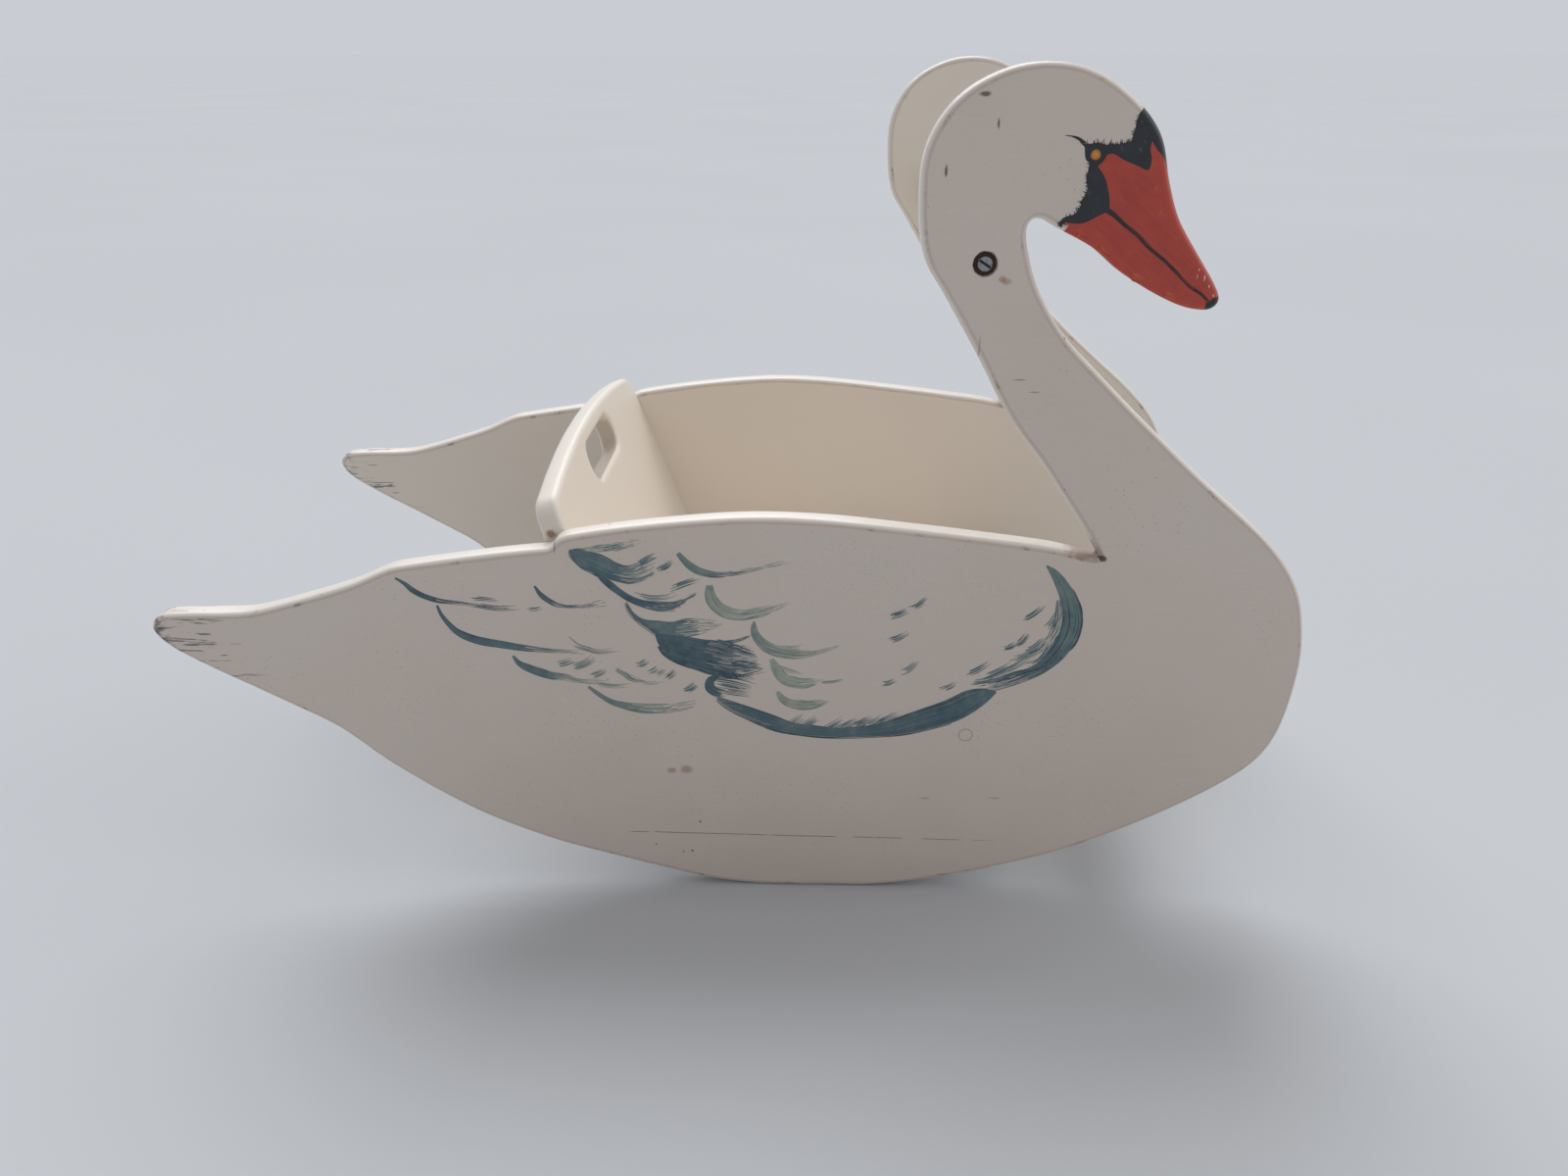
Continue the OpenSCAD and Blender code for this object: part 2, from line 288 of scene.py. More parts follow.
class Finish:
    """A procedural material, written as a chain of small node helpers."""

    def __init__(self, name, roughness=0.4):
        self.material = bpy.data.materials.new(name)
        self.material.use_nodes = True
        self.tree = self.material.node_tree
        self.shader = self.tree.nodes["Principled BSDF"]
        self.shader.inputs["Roughness"].default_value = roughness
        self.coords = self.tree.nodes.new("ShaderNodeTexCoord").outputs["Object"]
        split = self.tree.nodes.new("ShaderNodeSeparateXYZ")
        self.tree.links.new(self.coords, split.inputs[0])
        self.x, self.y, self.z = split.outputs

    def put(self, value, socket):
        if hasattr(value, "is_output"):
            self.tree.links.new(value, socket)
        else:
            socket.default_value = value

    def math(self, operation, a, b=0.0, clamp=False):
        node = self.tree.nodes.new("ShaderNodeMath")
        node.operation, node.use_clamp = operation, clamp
        self.put(a, node.inputs[0])
        self.put(b, node.inputs[1])
        return node.outputs[0]

    def times(self, *values):
        result = values[0]
        for value in values[1:]:
            result = self.math("MULTIPLY", result, value)
        return result

    def scaled(self, stretch, shift=(0, 0, 0)):
        node = self.tree.nodes.new("ShaderNodeMapping")
        node.inputs["Scale"].default_value = stretch
        node.inputs["Location"].default_value = shift
        self.tree.links.new(self.coords, node.inputs["Vector"])
        return node.outputs[0]

    def noise(self, scale, detail=3.0, stretch=(1, 1, 1), shift=(0, 0, 0), rough=0.55):
        """Noise with about scale bumps a metre, from 0 to 1."""
        node = self.tree.nodes.new("ShaderNodeTexNoise")
        node.inputs["Scale"].default_value = scale
        node.inputs["Detail"].default_value = detail
        node.inputs["Roughness"].default_value = rough
        self.tree.links.new(self.scaled(stretch, shift), node.inputs["Vector"])
        return node.outputs[0]

    def cells(self, scale, stretch=(1, 1, 1), shift=(0, 0, 0)):
        """Distance to the nearest of scattered points, about scale of them a metre."""
        node = self.tree.nodes.new("ShaderNodeTexVoronoi")
        node.inputs["Scale"].default_value = scale
        self.tree.links.new(self.scaled(stretch, shift), node.inputs["Vector"])
        return node.outputs["Distance"]

    def between(self, value, low, high):
        """0 below low and 1 above high, or the other way round, smooth between."""
        node = self.tree.nodes.new("ShaderNodeMapRange")
        node.interpolation_type = "SMOOTHSTEP"
        if low > high:
            node.inputs["To Min"].default_value, node.inputs["To Max"].default_value = 1.0, 0.0
            low, high = high, low
        node.inputs["From Min"].default_value = low
        node.inputs["From Max"].default_value = high
        self.put(value, node.inputs["Value"])
        return node.outputs["Result"]

    def mix(self, share, a, b):
        node = self.tree.nodes.new("ShaderNodeMix")
        node.data_type = "RGBA"
        self.put(share, node.inputs["Factor"])
        self.put(a, node.inputs["A"])
        self.put(b, node.inputs["B"])
        return node.outputs["Result"]

    def attribute(self, name):
        node = self.tree.nodes.new("ShaderNodeAttribute")
        node.attribute_name = name
        return node.outputs["Fac"]

    def away(self, x, z, wide=1.0, high=1.0):
        """Distance in mm from the point x, z (mm), counted less where wide or high stretches the spot."""
        dx = self.math("MULTIPLY", self.math("SUBTRACT", self.x, x * MM), 1000 / wide)
        dz = self.math("MULTIPLY", self.math("SUBTRACT", self.z, z * MM), 1000 / high)
        return self.math("SQRT", self.math("ADD", self.times(dx, dx), self.times(dz, dz)))

    def spot(self, x, z, radius, wide=1.0, high=1.0, ragged=0.5, soft=0.5):
        """A blot of that radius in mm, with a ragged edge. wide and high stretch it along X and Z."""
        fray = self.math("MULTIPLY", self.math("SUBTRACT", self.noise(260, 4), 0.5), 2 * ragged * radius)
        return self.between(self.math("ADD", self.away(x, z, wide, high), fray),
                            radius * (1 + soft), radius * (1 - soft))

    def colour(self, value):
        self.put(value, self.shader.inputs["Base Color"])

    def roughness(self, value):
        self.put(value, self.shader.inputs["Roughness"])

    def bump(self, height, distance, strength=1.0):
        node = self.tree.nodes.new("ShaderNodeBump")
        node.inputs["Strength"].default_value = strength
        node.inputs["Distance"].default_value = distance
        self.put(height, node.inputs["Height"])
        before = self.shader.inputs["Normal"]
        if before.is_linked:
            self.tree.links.new(before.links[0].from_socket, node.inputs["Normal"])
        self.tree.links.new(node.outputs[0], before)


IVORY = srgb(217, 206, 197)
IVORY_PALE = srgb(232, 226, 219)
IVORY_WARM = srgb(211, 198, 187)
# a lighter, warmer copy of the ivory: painted bounce light for the inner faces and the pieces between the
# boards
IVORY_BOUNCE_LIT = srgb(236, 227, 215)
# grime, and also painted shade in the corner of the step in the board's top edge
GRIME_AND_SHADE = srgb(96, 84, 74)
RUST = srgb(150, 104, 62)
BARE_WOOD = srgb(134, 92, 58)
# soot-dark specks and scuffs, and also painted shade in the crook of neck and wing
SOOT_AND_SHADE = srgb(44, 38, 34)
BLUE_BLACK = srgb(56, 62, 74)
# tan of age where hands wear the paint, and also painted shade beside the boards' rounded edges
AGED_AND_SHADE = srgb(160, 130, 100)


def ground_coat(finish, seed, along=(1, 1, 26)):
    """Old brushed ivory enamel: cloudy colour, brush marks along X, dust specks. Returns its colour."""
    cloud = finish.between(finish.noise(5, 3, shift=(seed, 0, 0)), 0.35, 0.68)
    colour = finish.mix(finish.times(cloud, 0.6), IVORY, IVORY_WARM)
    streak = finish.noise(34, 4, along, (0, seed, 0))
    colour = finish.mix(finish.times(finish.between(streak, 0.45, 0.8), 0.12), colour, IVORY_PALE)
    pebble = finish.noise(800, 3, shift=(seed, 4, 0), rough=0.7)
    colour = finish.mix(finish.times(finish.between(pebble, 0.45, 0.8), 0.08), colour, GRIME_AND_SHADE)
    dust = finish.times(finish.between(finish.cells(240, shift=(seed, seed, 0)), 0.16, 0.06),
                        finish.between(finish.noise(14, 3, shift=(0, 0, seed)), 0.5, 0.62))
    colour = finish.mix(finish.times(dust, 0.4), colour, GRIME_AND_SHADE)
    finish.bump(streak, 0.10 * MM, 0.6)
    finish.bump(pebble, 0.07 * MM, 0.6)
    finish.bump(finish.noise(70, 3, (1, 1, 2)), 0.25 * MM, 0.5)
    return colour


def board_finish(name, seed, marks):
    """Ground coat of a swan board: painted highlight on its rounded edges, painted shade and grime beside
    them, painted bounce light on its inner face, and its own marks.
    """
    f = Finish(name)
    colour = ground_coat(f, seed)
    rim = f.attribute("rim")
    inside = f.math("SUBTRACT", 1.0, outer_only(f, SIDES[name.split("_")[-1]]))
    # painted bounce light: the inner face is made lighter and warmer
    colour = f.mix(f.times(inside, 0.8), colour, IVORY_BOUNCE_LIT)
    # painted highlight: the rounded edges are paler towards the board's edge face
    colour = f.mix(f.times(f.between(rim, 0.1, 0.8), 0.75), colour, IVORY_PALE)
    # painted shade: a tan band on the rounded edges next to the face, with rubbed grime in the same band
    beside = f.times(f.between(rim, 0.0, 0.25), f.between(rim, 0.75, 0.3))
    colour = f.mix(f.times(beside, 0.28), colour, AGED_AND_SHADE)
    rubbed = f.between(f.noise(60, 5, (1, 1, 1), (seed, 3, 0), 0.7), 0.56, 0.70)
    colour = f.mix(f.times(beside, rubbed, 0.6), colour, GRIME_AND_SHADE)
    chips = f.times(f.between(rim, 0.45, 0.9), f.between(f.noise(130, 4, shift=(seed, 0, 9)), 0.69, 0.73))
    colour = f.mix(f.times(chips, 0.7), colour, GRIME_AND_SHADE)
    colour = marks(f, colour)
    f.colour(colour)
    shine = f.noise(45, 3, (1, 1, 3), (seed, 0, 0))
    f.roughness(f.math("SUBTRACT", f.math("ADD", f.times(shine, 0.16), 0.32), f.times(rim, 0.08)))
    return f.material


def outer_only(f, side):
    """1 on the outer face of a board and 0 on its inner face and in its bores."""
    outer = abs(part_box("side_board_left")[1].y) - 3 * MM
    return f.between(f.times(f.y, float(side)), outer - 1 * MM, outer)


# Marks of use and spots of painted shade, in mm: x and z, then a radius, a scuff's stretch along X and Z or
# a scratch's length
PLUG_RING = (179, 143)
RIGHT_STAINS = ((-40, 108, 1.8), (-29, 109, 2.6), (183, 471.5, 1.6), (180, 473, 1.4))
RIGHT_SPECKS = ((-20, 61, 0.8), (-34, 32, 0.7), (-27, 33, 0.9), (-55, 39, 0.6))
RIGHT_SCUFFS = ((170, 415, 0.5, 3.2), (162, 578, 2.6, 1.0), (142, 536, 0.6, 2.4), (171, 562, 0.5, 2.0))
RIGHT_SCRATCHES = ((205, 87, 7), (152, 86, 6), (196, 410, 7), (206, 402, 5))
# painted shadow in the corner of the step in the board's top edge
STEP_SHADE = (-113.5, 291, 1.1, 0.5, 4.0, 0.6, 0.6)        # the rest as Finish.spot takes them
RUST_LINE = (169, 430, 0.7, 0.8, 11.0)
FRECKLES = (115, 266, 50, 1.8, 0.6, 0.4, 0.8)
WORN_CROOK = (253, 290, 7.5, 1.6, 1.0, 0.8, 0.6)
# painted shade: a dark wedge in the crook where neck and wing meet
CROOK_SHADE = (263, 286, 2.3, 1.1, 1.0, 0.5, 0.4)
GLUE_JOINT = (60, 49)       # a point on the joint
GLUE_JOINT_FALL = 0.012     # how far it falls for each unit of X
LEFT_STAINS = ((-30, 107, 2.4), (96, 60, 1.4), (310, 150, 1.2))
BACK_BARE = ((-119, 293, 3.2),)


def right_marks(f, colour):
    """Marks of use on the right board: stains, a plug ring, an opened glue joint, scuffs and grime, with
    painted shade in the step's corner and in the crook of neck and wing.
    """
    outer = outer_only(f, RIGHT)
    plug = f.away(*PLUG_RING)
    ring = f.times(f.between(plug, 4.3, 4.9), f.between(plug, 5.7, 5.1), outer)
    colour = f.mix(f.times(ring, 0.5), colour, GRIME_AND_SHADE)
    for x, z, radius in RIGHT_STAINS:
        blot = f.spot(x, z, radius, 1.4, soft=0.9)
        dried = f.spot(x, z, 0.5 * radius, 1.4, soft=0.9)
        colour = f.mix(f.times(f.math("SUBTRACT", blot, f.times(dried, 0.35)), outer, 0.75), colour, RUST)
    # painted shadow in the step's corner
    colour = f.mix(f.times(f.spot(*STEP_SHADE), 0.6), colour, GRIME_AND_SHADE)
    for x, z, radius in RIGHT_SPECKS:
        colour = f.mix(f.times(f.spot(x, z, radius), outer, 0.8), colour, SOOT_AND_SHADE)
    for x, z, wide, high in RIGHT_SCUFFS:
        colour = f.mix(f.times(f.spot(x, z, 1.3, wide, high), 0.8), colour, SOOT_AND_SHADE)
    colour = f.mix(f.times(f.spot(*RUST_LINE), 0.5), colour, RUST)
    for x, z, wide in RIGHT_SCRATCHES:
        scratch = f.spot(x, z, 0.6, wide, 0.7, 0.9)
        colour = f.mix(f.times(scratch, outer, 0.6), colour, GRIME_AND_SHADE)
    rise = f.times(f.math("SUBTRACT", f.x, GLUE_JOINT[0] * MM), GLUE_JOINT_FALL)
    joint = f.math("ADD", f.math("SUBTRACT", f.z, GLUE_JOINT[1] * MM), rise)
    wander = f.math("ADD", joint, f.times(f.math("SUBTRACT", f.noise(30, 3), 0.5), 1.2 * MM))
    broken = f.between(f.noise(55, 2, (1, 1, 0.1)), 0.42, 0.5)
    reach = f.times(f.between(f.x, -0.078, -0.07), f.between(f.x, 0.24, 0.15))
    line = f.times(f.between(f.math("ABSOLUTE", wander), 0.5 * MM, 0.15 * MM), broken, reach, outer)
    colour = f.mix(f.times(line, 0.75), colour, GRIME_AND_SHADE)
    f.bump(f.math("SUBTRACT", 1.0, line), 0.2 * MM, 0.8)
    specks = f.between(f.cells(480, shift=(0, 0, 3)), 0.2, 0.1)
    colour = f.mix(f.times(specks, f.spot(*FRECKLES), outer, 0.45), colour, RUST)
    colour = tail_scratches(f, colour, 2.0)
    return apex_wear_and_shade(f, colour)


def tail_scratches(f, colour, seed):
    """Fine dark lines along the tail, closest together at its tip, and a scuffed tip."""
    lines = f.noise(330, 3, (0.07, 1, 1), (seed, 0, 0), 0.6)
    close = f.times(f.between(f.x, -0.33, -0.40), 0.09)
    lines = f.between(f.math("ADD", lines, close), 0.655, 0.685)
    colour = f.mix(f.times(lines, f.between(f.x, -0.325, -0.365), 0.75), colour, BLUE_BLACK)
    scuffed = f.between(f.noise(150, 5, (0.5, 1, 1), (seed, 5, 0), 0.75), 0.50, 0.60)
    return f.mix(f.times(f.between(f.x, -0.396, -0.409), scuffed, 0.8), colour, BLUE_BLACK)


def apex_wear_and_shade(f, colour):
    """Where neck and wing meet: a dark wedge of painted shade in the crook, and the rim behind it worn to
    brown.
    """
    rim = f.between(f.attribute("rim"), 0.15, 0.5)
    colour = f.mix(f.times(f.spot(*WORN_CROOK), rim, 0.6), colour, BARE_WOOD)
    # painted shade in the crook
    return f.mix(f.times(f.spot(*CROOK_SHADE), 0.9), colour, SOOT_AND_SHADE)


def left_marks(f, colour):
    """Marks of use on the left board, which the photographed side doesn't show: the same kinds, fewer."""
    outer = outer_only(f, LEFT)
    for x, z, radius in LEFT_STAINS:
        colour = f.mix(f.times(f.spot(x, z, radius, 1.5), outer, 0.7), colour, RUST)
    colour = tail_scratches(f, colour, 5.0)
    return apex_wear_and_shade(f, colour)


def inner_finish(name, seed, along, worn=0.0, bare_spots=()):
    """Ivory enamel of the seat, backrest, foot board and handlebar, made lighter and warmer by painted
    bounce light, with a painted highlight on rounded edges. worn sets how much bare wood shows.
    A board with bare spots has them on its side faces, and is tanned by hands in its hand hole."""
    f = Finish(name)
    # painted bounce light: the enamel is mixed towards a lighter, warmer ivory
    colour = f.mix(0.8, ground_coat(f, seed, along), IVORY_BOUNCE_LIT)
    rim = f.attribute("rim")
    # painted highlight on the rounded edges
    colour = f.mix(f.times(f.between(rim, 0.1, 0.8), 0.5), colour, IVORY_PALE)
    scratch = f.between(f.noise(150, 5, (1, 1, 0.12), (seed, 1, 0), 0.8), 0.66, 0.70)
    colour = f.mix(f.times(scratch, 0.3), colour, IVORY_PALE)
    if worn:
        bare = f.between(f.noise(38, 5, along, (seed, 2, 0), 0.7), 0.74 - worn, 0.78 - worn)
        colour = f.mix(f.times(bare, 0.8), colour, BARE_WOOD)
    across = f.math("ABSOLUTE", f.y)
    for x, z, radius in bare_spots:
        colour = f.mix(f.times(f.spot(x, z, radius), f.between(across, 0.15, 0.16), 0.8), colour, BARE_WOOD)
    if bare_spots:
        below_arch = f.between(f.z, 0.312, 0.306)
        handled = f.times(f.between(rim, 0.75, 1.0), f.between(across, 0.07, 0.06), below_arch)
        colour = f.mix(f.times(handled, 0.45), colour, AGED_AND_SHADE)
    f.colour(colour)
    f.roughness(f.math("ADD", f.times(f.noise(45, 3), 0.16), 0.34))
    return f.material


def brush_finish(name, colours, roughness=0.45):
    """Artist's paint whose colour runs through the given colours as the mark's tint goes from 0 to 1."""
    f = Finish(name)
    tint = f.math("ADD", f.attribute("tint"), f.times(f.math("SUBTRACT", f.noise(160, 4), 0.5), 0.5))
    tint = f.math("ADD", tint, f.times(f.math("SUBTRACT", f.noise(48, 2), 0.5), 0.5))
    colour = colours[0]
    for k, c in enumerate(colours[1:]):
        colour = f.mix(f.between(tint, k / (len(colours) - 1), (k + 1) / (len(colours) - 1)), colour, c)
    f.colour(colour)
    f.roughness(f.math("ADD", f.times(f.noise(120, 3), 0.2), roughness - 0.1))
    f.bump(f.noise(700, 2), 0.03 * MM, 0.5)
    return f.material


def metal_finish(name, bright, stain, stained, roughness, metallic):
    """Metal or dirt with stains; less of it is stained the higher stained is."""
    f = Finish(name)
    f.shader.inputs["Metallic"].default_value = metallic
    spots = f.between(f.noise(420, 5, rough=0.7), stained, stained + 0.14)
    f.colour(f.mix(spots, bright, stain))
    f.roughness(f.math("ADD", f.times(spots, 0.35), roughness))
    f.bump(f.noise(900, 4, (1, 1, 4)), 0.04 * MM, 0.7)
    return f.material


def finish_piece(obj, material, body="frame"):
    """Gives the object its material and the body it moves with."""
    obj.data.materials.clear()
    obj.data.materials.append(material)
    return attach(obj, body)


# ---------------------------------------------------------------- painted marks

def curve_through(points, spacing=2.0):
    """Evenly spaced points, spacing mm apart, on a smooth curve through the given ones."""
    p = [np.array(q, float) for q in points]
    if len(p) == 2:
        p = [p[0], (p[0] + p[1]) / 2, p[1]]
    p = [2 * p[0] - p[1]] + p + [2 * p[-1] - p[-2]]
    fine = []
    for a, b, c, d in zip(p, p[1:], p[2:], p[3:]):
        for k in range(12):
            t = k / 12
            fine.append(0.5 * (2 * b + (c - a) * t + (2 * a - 5 * b + 4 * c - d) * t * t
                               + (3 * b - a - 3 * c + d) * t ** 3))
    fine.append(p[-2])
    fine = np.array(fine)
    along = np.concatenate([[0], np.cumsum(np.linalg.norm(np.diff(fine, axis=0), axis=1))])
    count = max(4, int(along[-1] / spacing) + 1)
    places = np.linspace(0, along[-1], count)
    return np.stack([np.interp(places, along, fine[:, k]) for k in (0, 1)], axis=1)


def sideways(path):
    """Unit normals of an open path, on its left."""
    t = np.gradient(path, axis=0)
    n = np.stack([-t[:, 1], t[:, 0]], axis=1)
    return n / np.maximum(np.linalg.norm(n, axis=1), 1e-9)[:, None]


class Marks:
    """Thin closed shells of paint on the outer face of one board, drawn in mm of X and Z."""

    def __init__(self, side, seed, lift=0.0):
        self.side, self.random, self.lift = side, random.Random(seed), lift
        self.face = abs(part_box("side_board_left")[1].y) - FACE_INSET
        self.verts, self.faces, self.tints = [], [], []
        self.coats = 0

    def point(self, p, height, tint):
        """Adds a vertex at p, height metres above the face."""
        self.verts.append((p[0] * MM, self.side * (self.face + height), p[1] * MM))
        self.tints.append(tint)
        return len(self.verts) - 1

    def ribbon(self, path, half, height, tint):
        """A ridge of paint along the path, with half widths in mm and one tint or a tint for each point."""
        if len(path) < 3:
            return
        rows = []
        for p, n, w, t in zip(path, sideways(path), half, np.broadcast_to(tint, len(path))):
            w = max(w, 0.03)
            ridge = height * min(1.0, 0.5 + w)
            rows.append((self.point(p + n * w, -SUNK, t), self.point(p, ridge, t),
                         self.point(p - n * w, -SUNK, t)))
        for a, b in zip(rows, rows[1:]):
            self.faces += [(a[k], a[(k + 1) % 3], b[(k + 1) % 3], b[k]) for k in range(3)]
        self.faces += [rows[0], rows[-1][::-1]]

    def patch(self, outline, height, tint):
        """A flat area of paint inside the outline."""
        count = len(outline)
        top = [self.point(p, height, tint) for p in outline]
        low = [self.point(p, -SUNK, tint) for p in outline]
        fill = tessellate_polygon([[Vector((p[0], p[1], 0)) for p in outline]])
        self.faces += [tuple(top[i] for i in t) for t in fill]
        self.faces += [tuple(low[i] for i in reversed(t)) for t in fill]
        self.faces += [(top[i], low[i], low[(i + 1) % count], top[(i + 1) % count]) for i in range(count)]

    def sweep(self, low, high, tints, wet, full=0.0, under=0.1):
        """Bristle marks side by side between two paths. They break up past the share wet of the length.
        tints run from start to end; the marks darken towards the low path, where a brush leaves its paint.
        full is the share of the length with a coat under the marks, paler than them by under."""
        low, high = np.array(low), np.array(high)
        s = np.linspace(0, 1, len(low))
        middle, spread = (low + high) / 2, (high - low) / 2
        across = np.linalg.norm(spread, axis=1) * 2
        length = np.linalg.norm(np.diff(middle, axis=0), axis=1).sum()
        tint = np.interp(s, np.linspace(0, 1, len(tints)), tints)
        if full:
            last = int(round(full * (len(low) - 1)))
            outline = [middle[i] - spread[i] * 0.95 for i in range(last)]
            for k in range(COAT_TEETH):
                u = 0.75 * (2 * k / (COAT_TEETH - 1) - 1)
                i = min(len(low) - 1, int(last * self.random.uniform(0.8, 1.12)))
                outline.append(middle[i] + spread[i] * u)
            outline += [middle[i] + spread[i] * 0.95 for i in reversed(range(last))]
            self.coats += 1                  # overlapping coats lie at different heights
            height = self.lift + (0.05 + 0.0015 * (self.coats % 16)) * MM
            self.patch(outline, height, float(tint[:last + 1].mean()) + under)
        count = max(3, int(across.max() / BRISTLE))
        for j in range(count):
            u = (2 * (j + 0.5) / count - 1) * 0.97 + self.random.uniform(-0.8, 0.8) / count
            begin = 0.02 * self.random.random() + 0.05 * abs(u) ** 3 * self.random.random()
            seed = self.random.random() * 90
            sway = np.array([noise.noise(Vector((seed, t * 4, 0))) for t in s]) * 0.7
            line = middle + spread * u + sideways(middle) * sway[:, None]
            tired = np.clip((s - wet) / max(0.05, 1 - wet), 0, 1)
            half = across / count * self.random.uniform(0.55, 0.95) * (1.1 - 0.3 * tired)
            load = np.array([noise.noise(Vector((seed, t * length / 6, 5))) for t in s])
            keep = (s >= begin) & (load > -0.55 + 0.68 * tired - 0.5 * (s < wet))
            shade = tint - 0.25 * max(0.0, -u) ** 3 + self.random.gauss(0, 0.17)
            if self.random.random() < 0.08:
                shade = shade + 0.35
            height = self.lift + self.random.uniform(0.08, 0.16) * MM
            self.dashes(line, np.maximum(half, 0.16), keep, height, np.clip(shade, 0, 1))

    def dashes(self, line, half, keep, height, tint):
        """The stretches of a bristle's path where it leaves paint."""
        start = None
        for i in range(len(line) + 1):
            on = i < len(line) and keep[i]
            if on and start is None:
                start = i
            elif not on and start is not None:
                ends = np.minimum(np.arange(i - start), np.arange(i - start)[::-1])
                pointed = half[start:i] * np.clip(0.25 + 0.5 * ends, 0, 1)
                self.ribbon(line[start:i], pointed, height, tint[start:i])
                start = None

    def stroke(self, points, widths, tints=(0.4, 0.4), wet=0.6, full=0.0):
        """One brush stroke along the points: widths in mm and tints run from its start to its end."""
        path = curve_through(points, 1.3)
        s = np.linspace(0, 1, len(path))
        side = sideways(path) * (np.interp(s, np.linspace(0, 1, len(widths)), widths) / 2)[:, None]
        self.sweep(path - side, path + side, tints, wet, full)

    def fan(self, low, high, tints, wet=0.7, full=0.0, under=0.1):
        """A filled feather: bristle marks between a lower and an upper edge that share their start."""
        a = curve_through(low, 0.5)
        b = curve_through(high, 0.5)
        count = int(max(len(a), len(b)) / 2.6)
        picks = [np.round(np.linspace(0, len(q) - 1, count)).astype(int) for q in (a, b)]
        self.sweep(a[picks[0]], b[picks[1]], tints, wet, full, under)

    def hatch(self, points, width=4.0, tint=0.4):
        """A few fine lines side by side, from the tips of a nearly dry brush."""
        path = curve_through(points, 1.0)
        side = sideways(path)
        count = max(3, int(round(width / 0.9)))
        for j in range(count):
            u = ((j + 0.5) / count - 0.5) * width + self.random.uniform(-0.3, 0.3)
            first = int(len(path) * self.random.uniform(0, 0.3))
            last = int(len(path) * self.random.uniform(0.75, 1))
            line = path[first:last] + side[first:last] * u
            swell = np.sin(math.pi * np.linspace(0.08, 0.96, len(line)) ** 0.7)
            half = 0.12 + 0.46 * swell * self.random.uniform(0.6, 1.3)
            self.ribbon(line, half, self.lift + self.random.uniform(0.07, 0.13) * MM,
                        min(1, max(0, tint + self.random.gauss(0, 0.15))))

    def fringe(self, points, long, lean=(0.0, 0.0), tint=0.2, spacing=0.5):
        """Short pointed strokes out of the left side of a line, as a ragged painted edge."""
        path = curve_through(points, spacing)
        for p, n in zip(path, sideways(path)):
            grow = long * self.random.random() ** 1.6
            stray = np.array([self.random.uniform(-0.5, 0.5), self.random.uniform(-0.5, 0.5)])
            root, tip = p - n * 1.5, p + (n + np.array(lean) + stray) * grow
            line = np.stack([root + (tip - root) * t for t in (0, 0.35, 0.7, 1.0)])
            half = np.array([0.5, 0.5, 0.3, 0.06]) * self.random.uniform(0.5, 1.4)
            self.ribbon(line, half, self.lift + 0.14 * MM, min(1, max(0, tint + self.random.gauss(0, 0.1))))

    def skin(self, rings, outline_part, tint, coat=COAT, slant=0):
        """A coat over the rounded edge of the board: rings come from Board.edge, in metres.
        On the outer face it ends slant points before the end of outline_part, for an oblique end."""
        rows = []
        count = len(outline_part)
        for height in (coat, -SUNK):
            layer = []
            for k, (loop, depth, angle) in enumerate(rings):
                shell = loop - inward(loop) * height * math.cos(angle)
                columns = np.column_stack([shell, depth])[outline_part]
                places = np.linspace(0, count - 1 - slant * max(0.0, 1 - k / EDGE_STEPS), count)
                row = []
                for x, z, deep in zip(*(np.interp(places, np.arange(count), c) for c in columns.T)):
                    y = self.face - float(deep) + height * math.sin(angle)
                    self.verts.append((x, self.side * y, z))
                    self.tints.append(tint)
                    row.append(len(self.verts) - 1)
                layer.append(row)
            rows.append(layer)
        top, low = rows
        wide, deep = len(outline_part), len(rings)
        for k in range(deep - 1):
            for i in range(wide - 1):
                for layer in (top, low):
                    self.faces.append((layer[k][i], layer[k][i + 1], layer[k + 1][i + 1], layer[k + 1][i]))
            for i in (0, wide - 1):
                self.faces.append((top[k][i], top[k + 1][i], low[k + 1][i], low[k][i]))
        for i in range(wide - 1):
            for k in (0, deep - 1):
                self.faces.append((top[k][i], top[k][i + 1], low[k][i + 1], low[k][i]))

    def build(self, name, material):
        obj = mesh_object(name, self.verts, self.faces, {"tint": self.tints}, 60)
        return finish_piece(obj, material)


DEEP, SAGE = 0.08, 0.85     # tints of the dark and the pale feather strokes


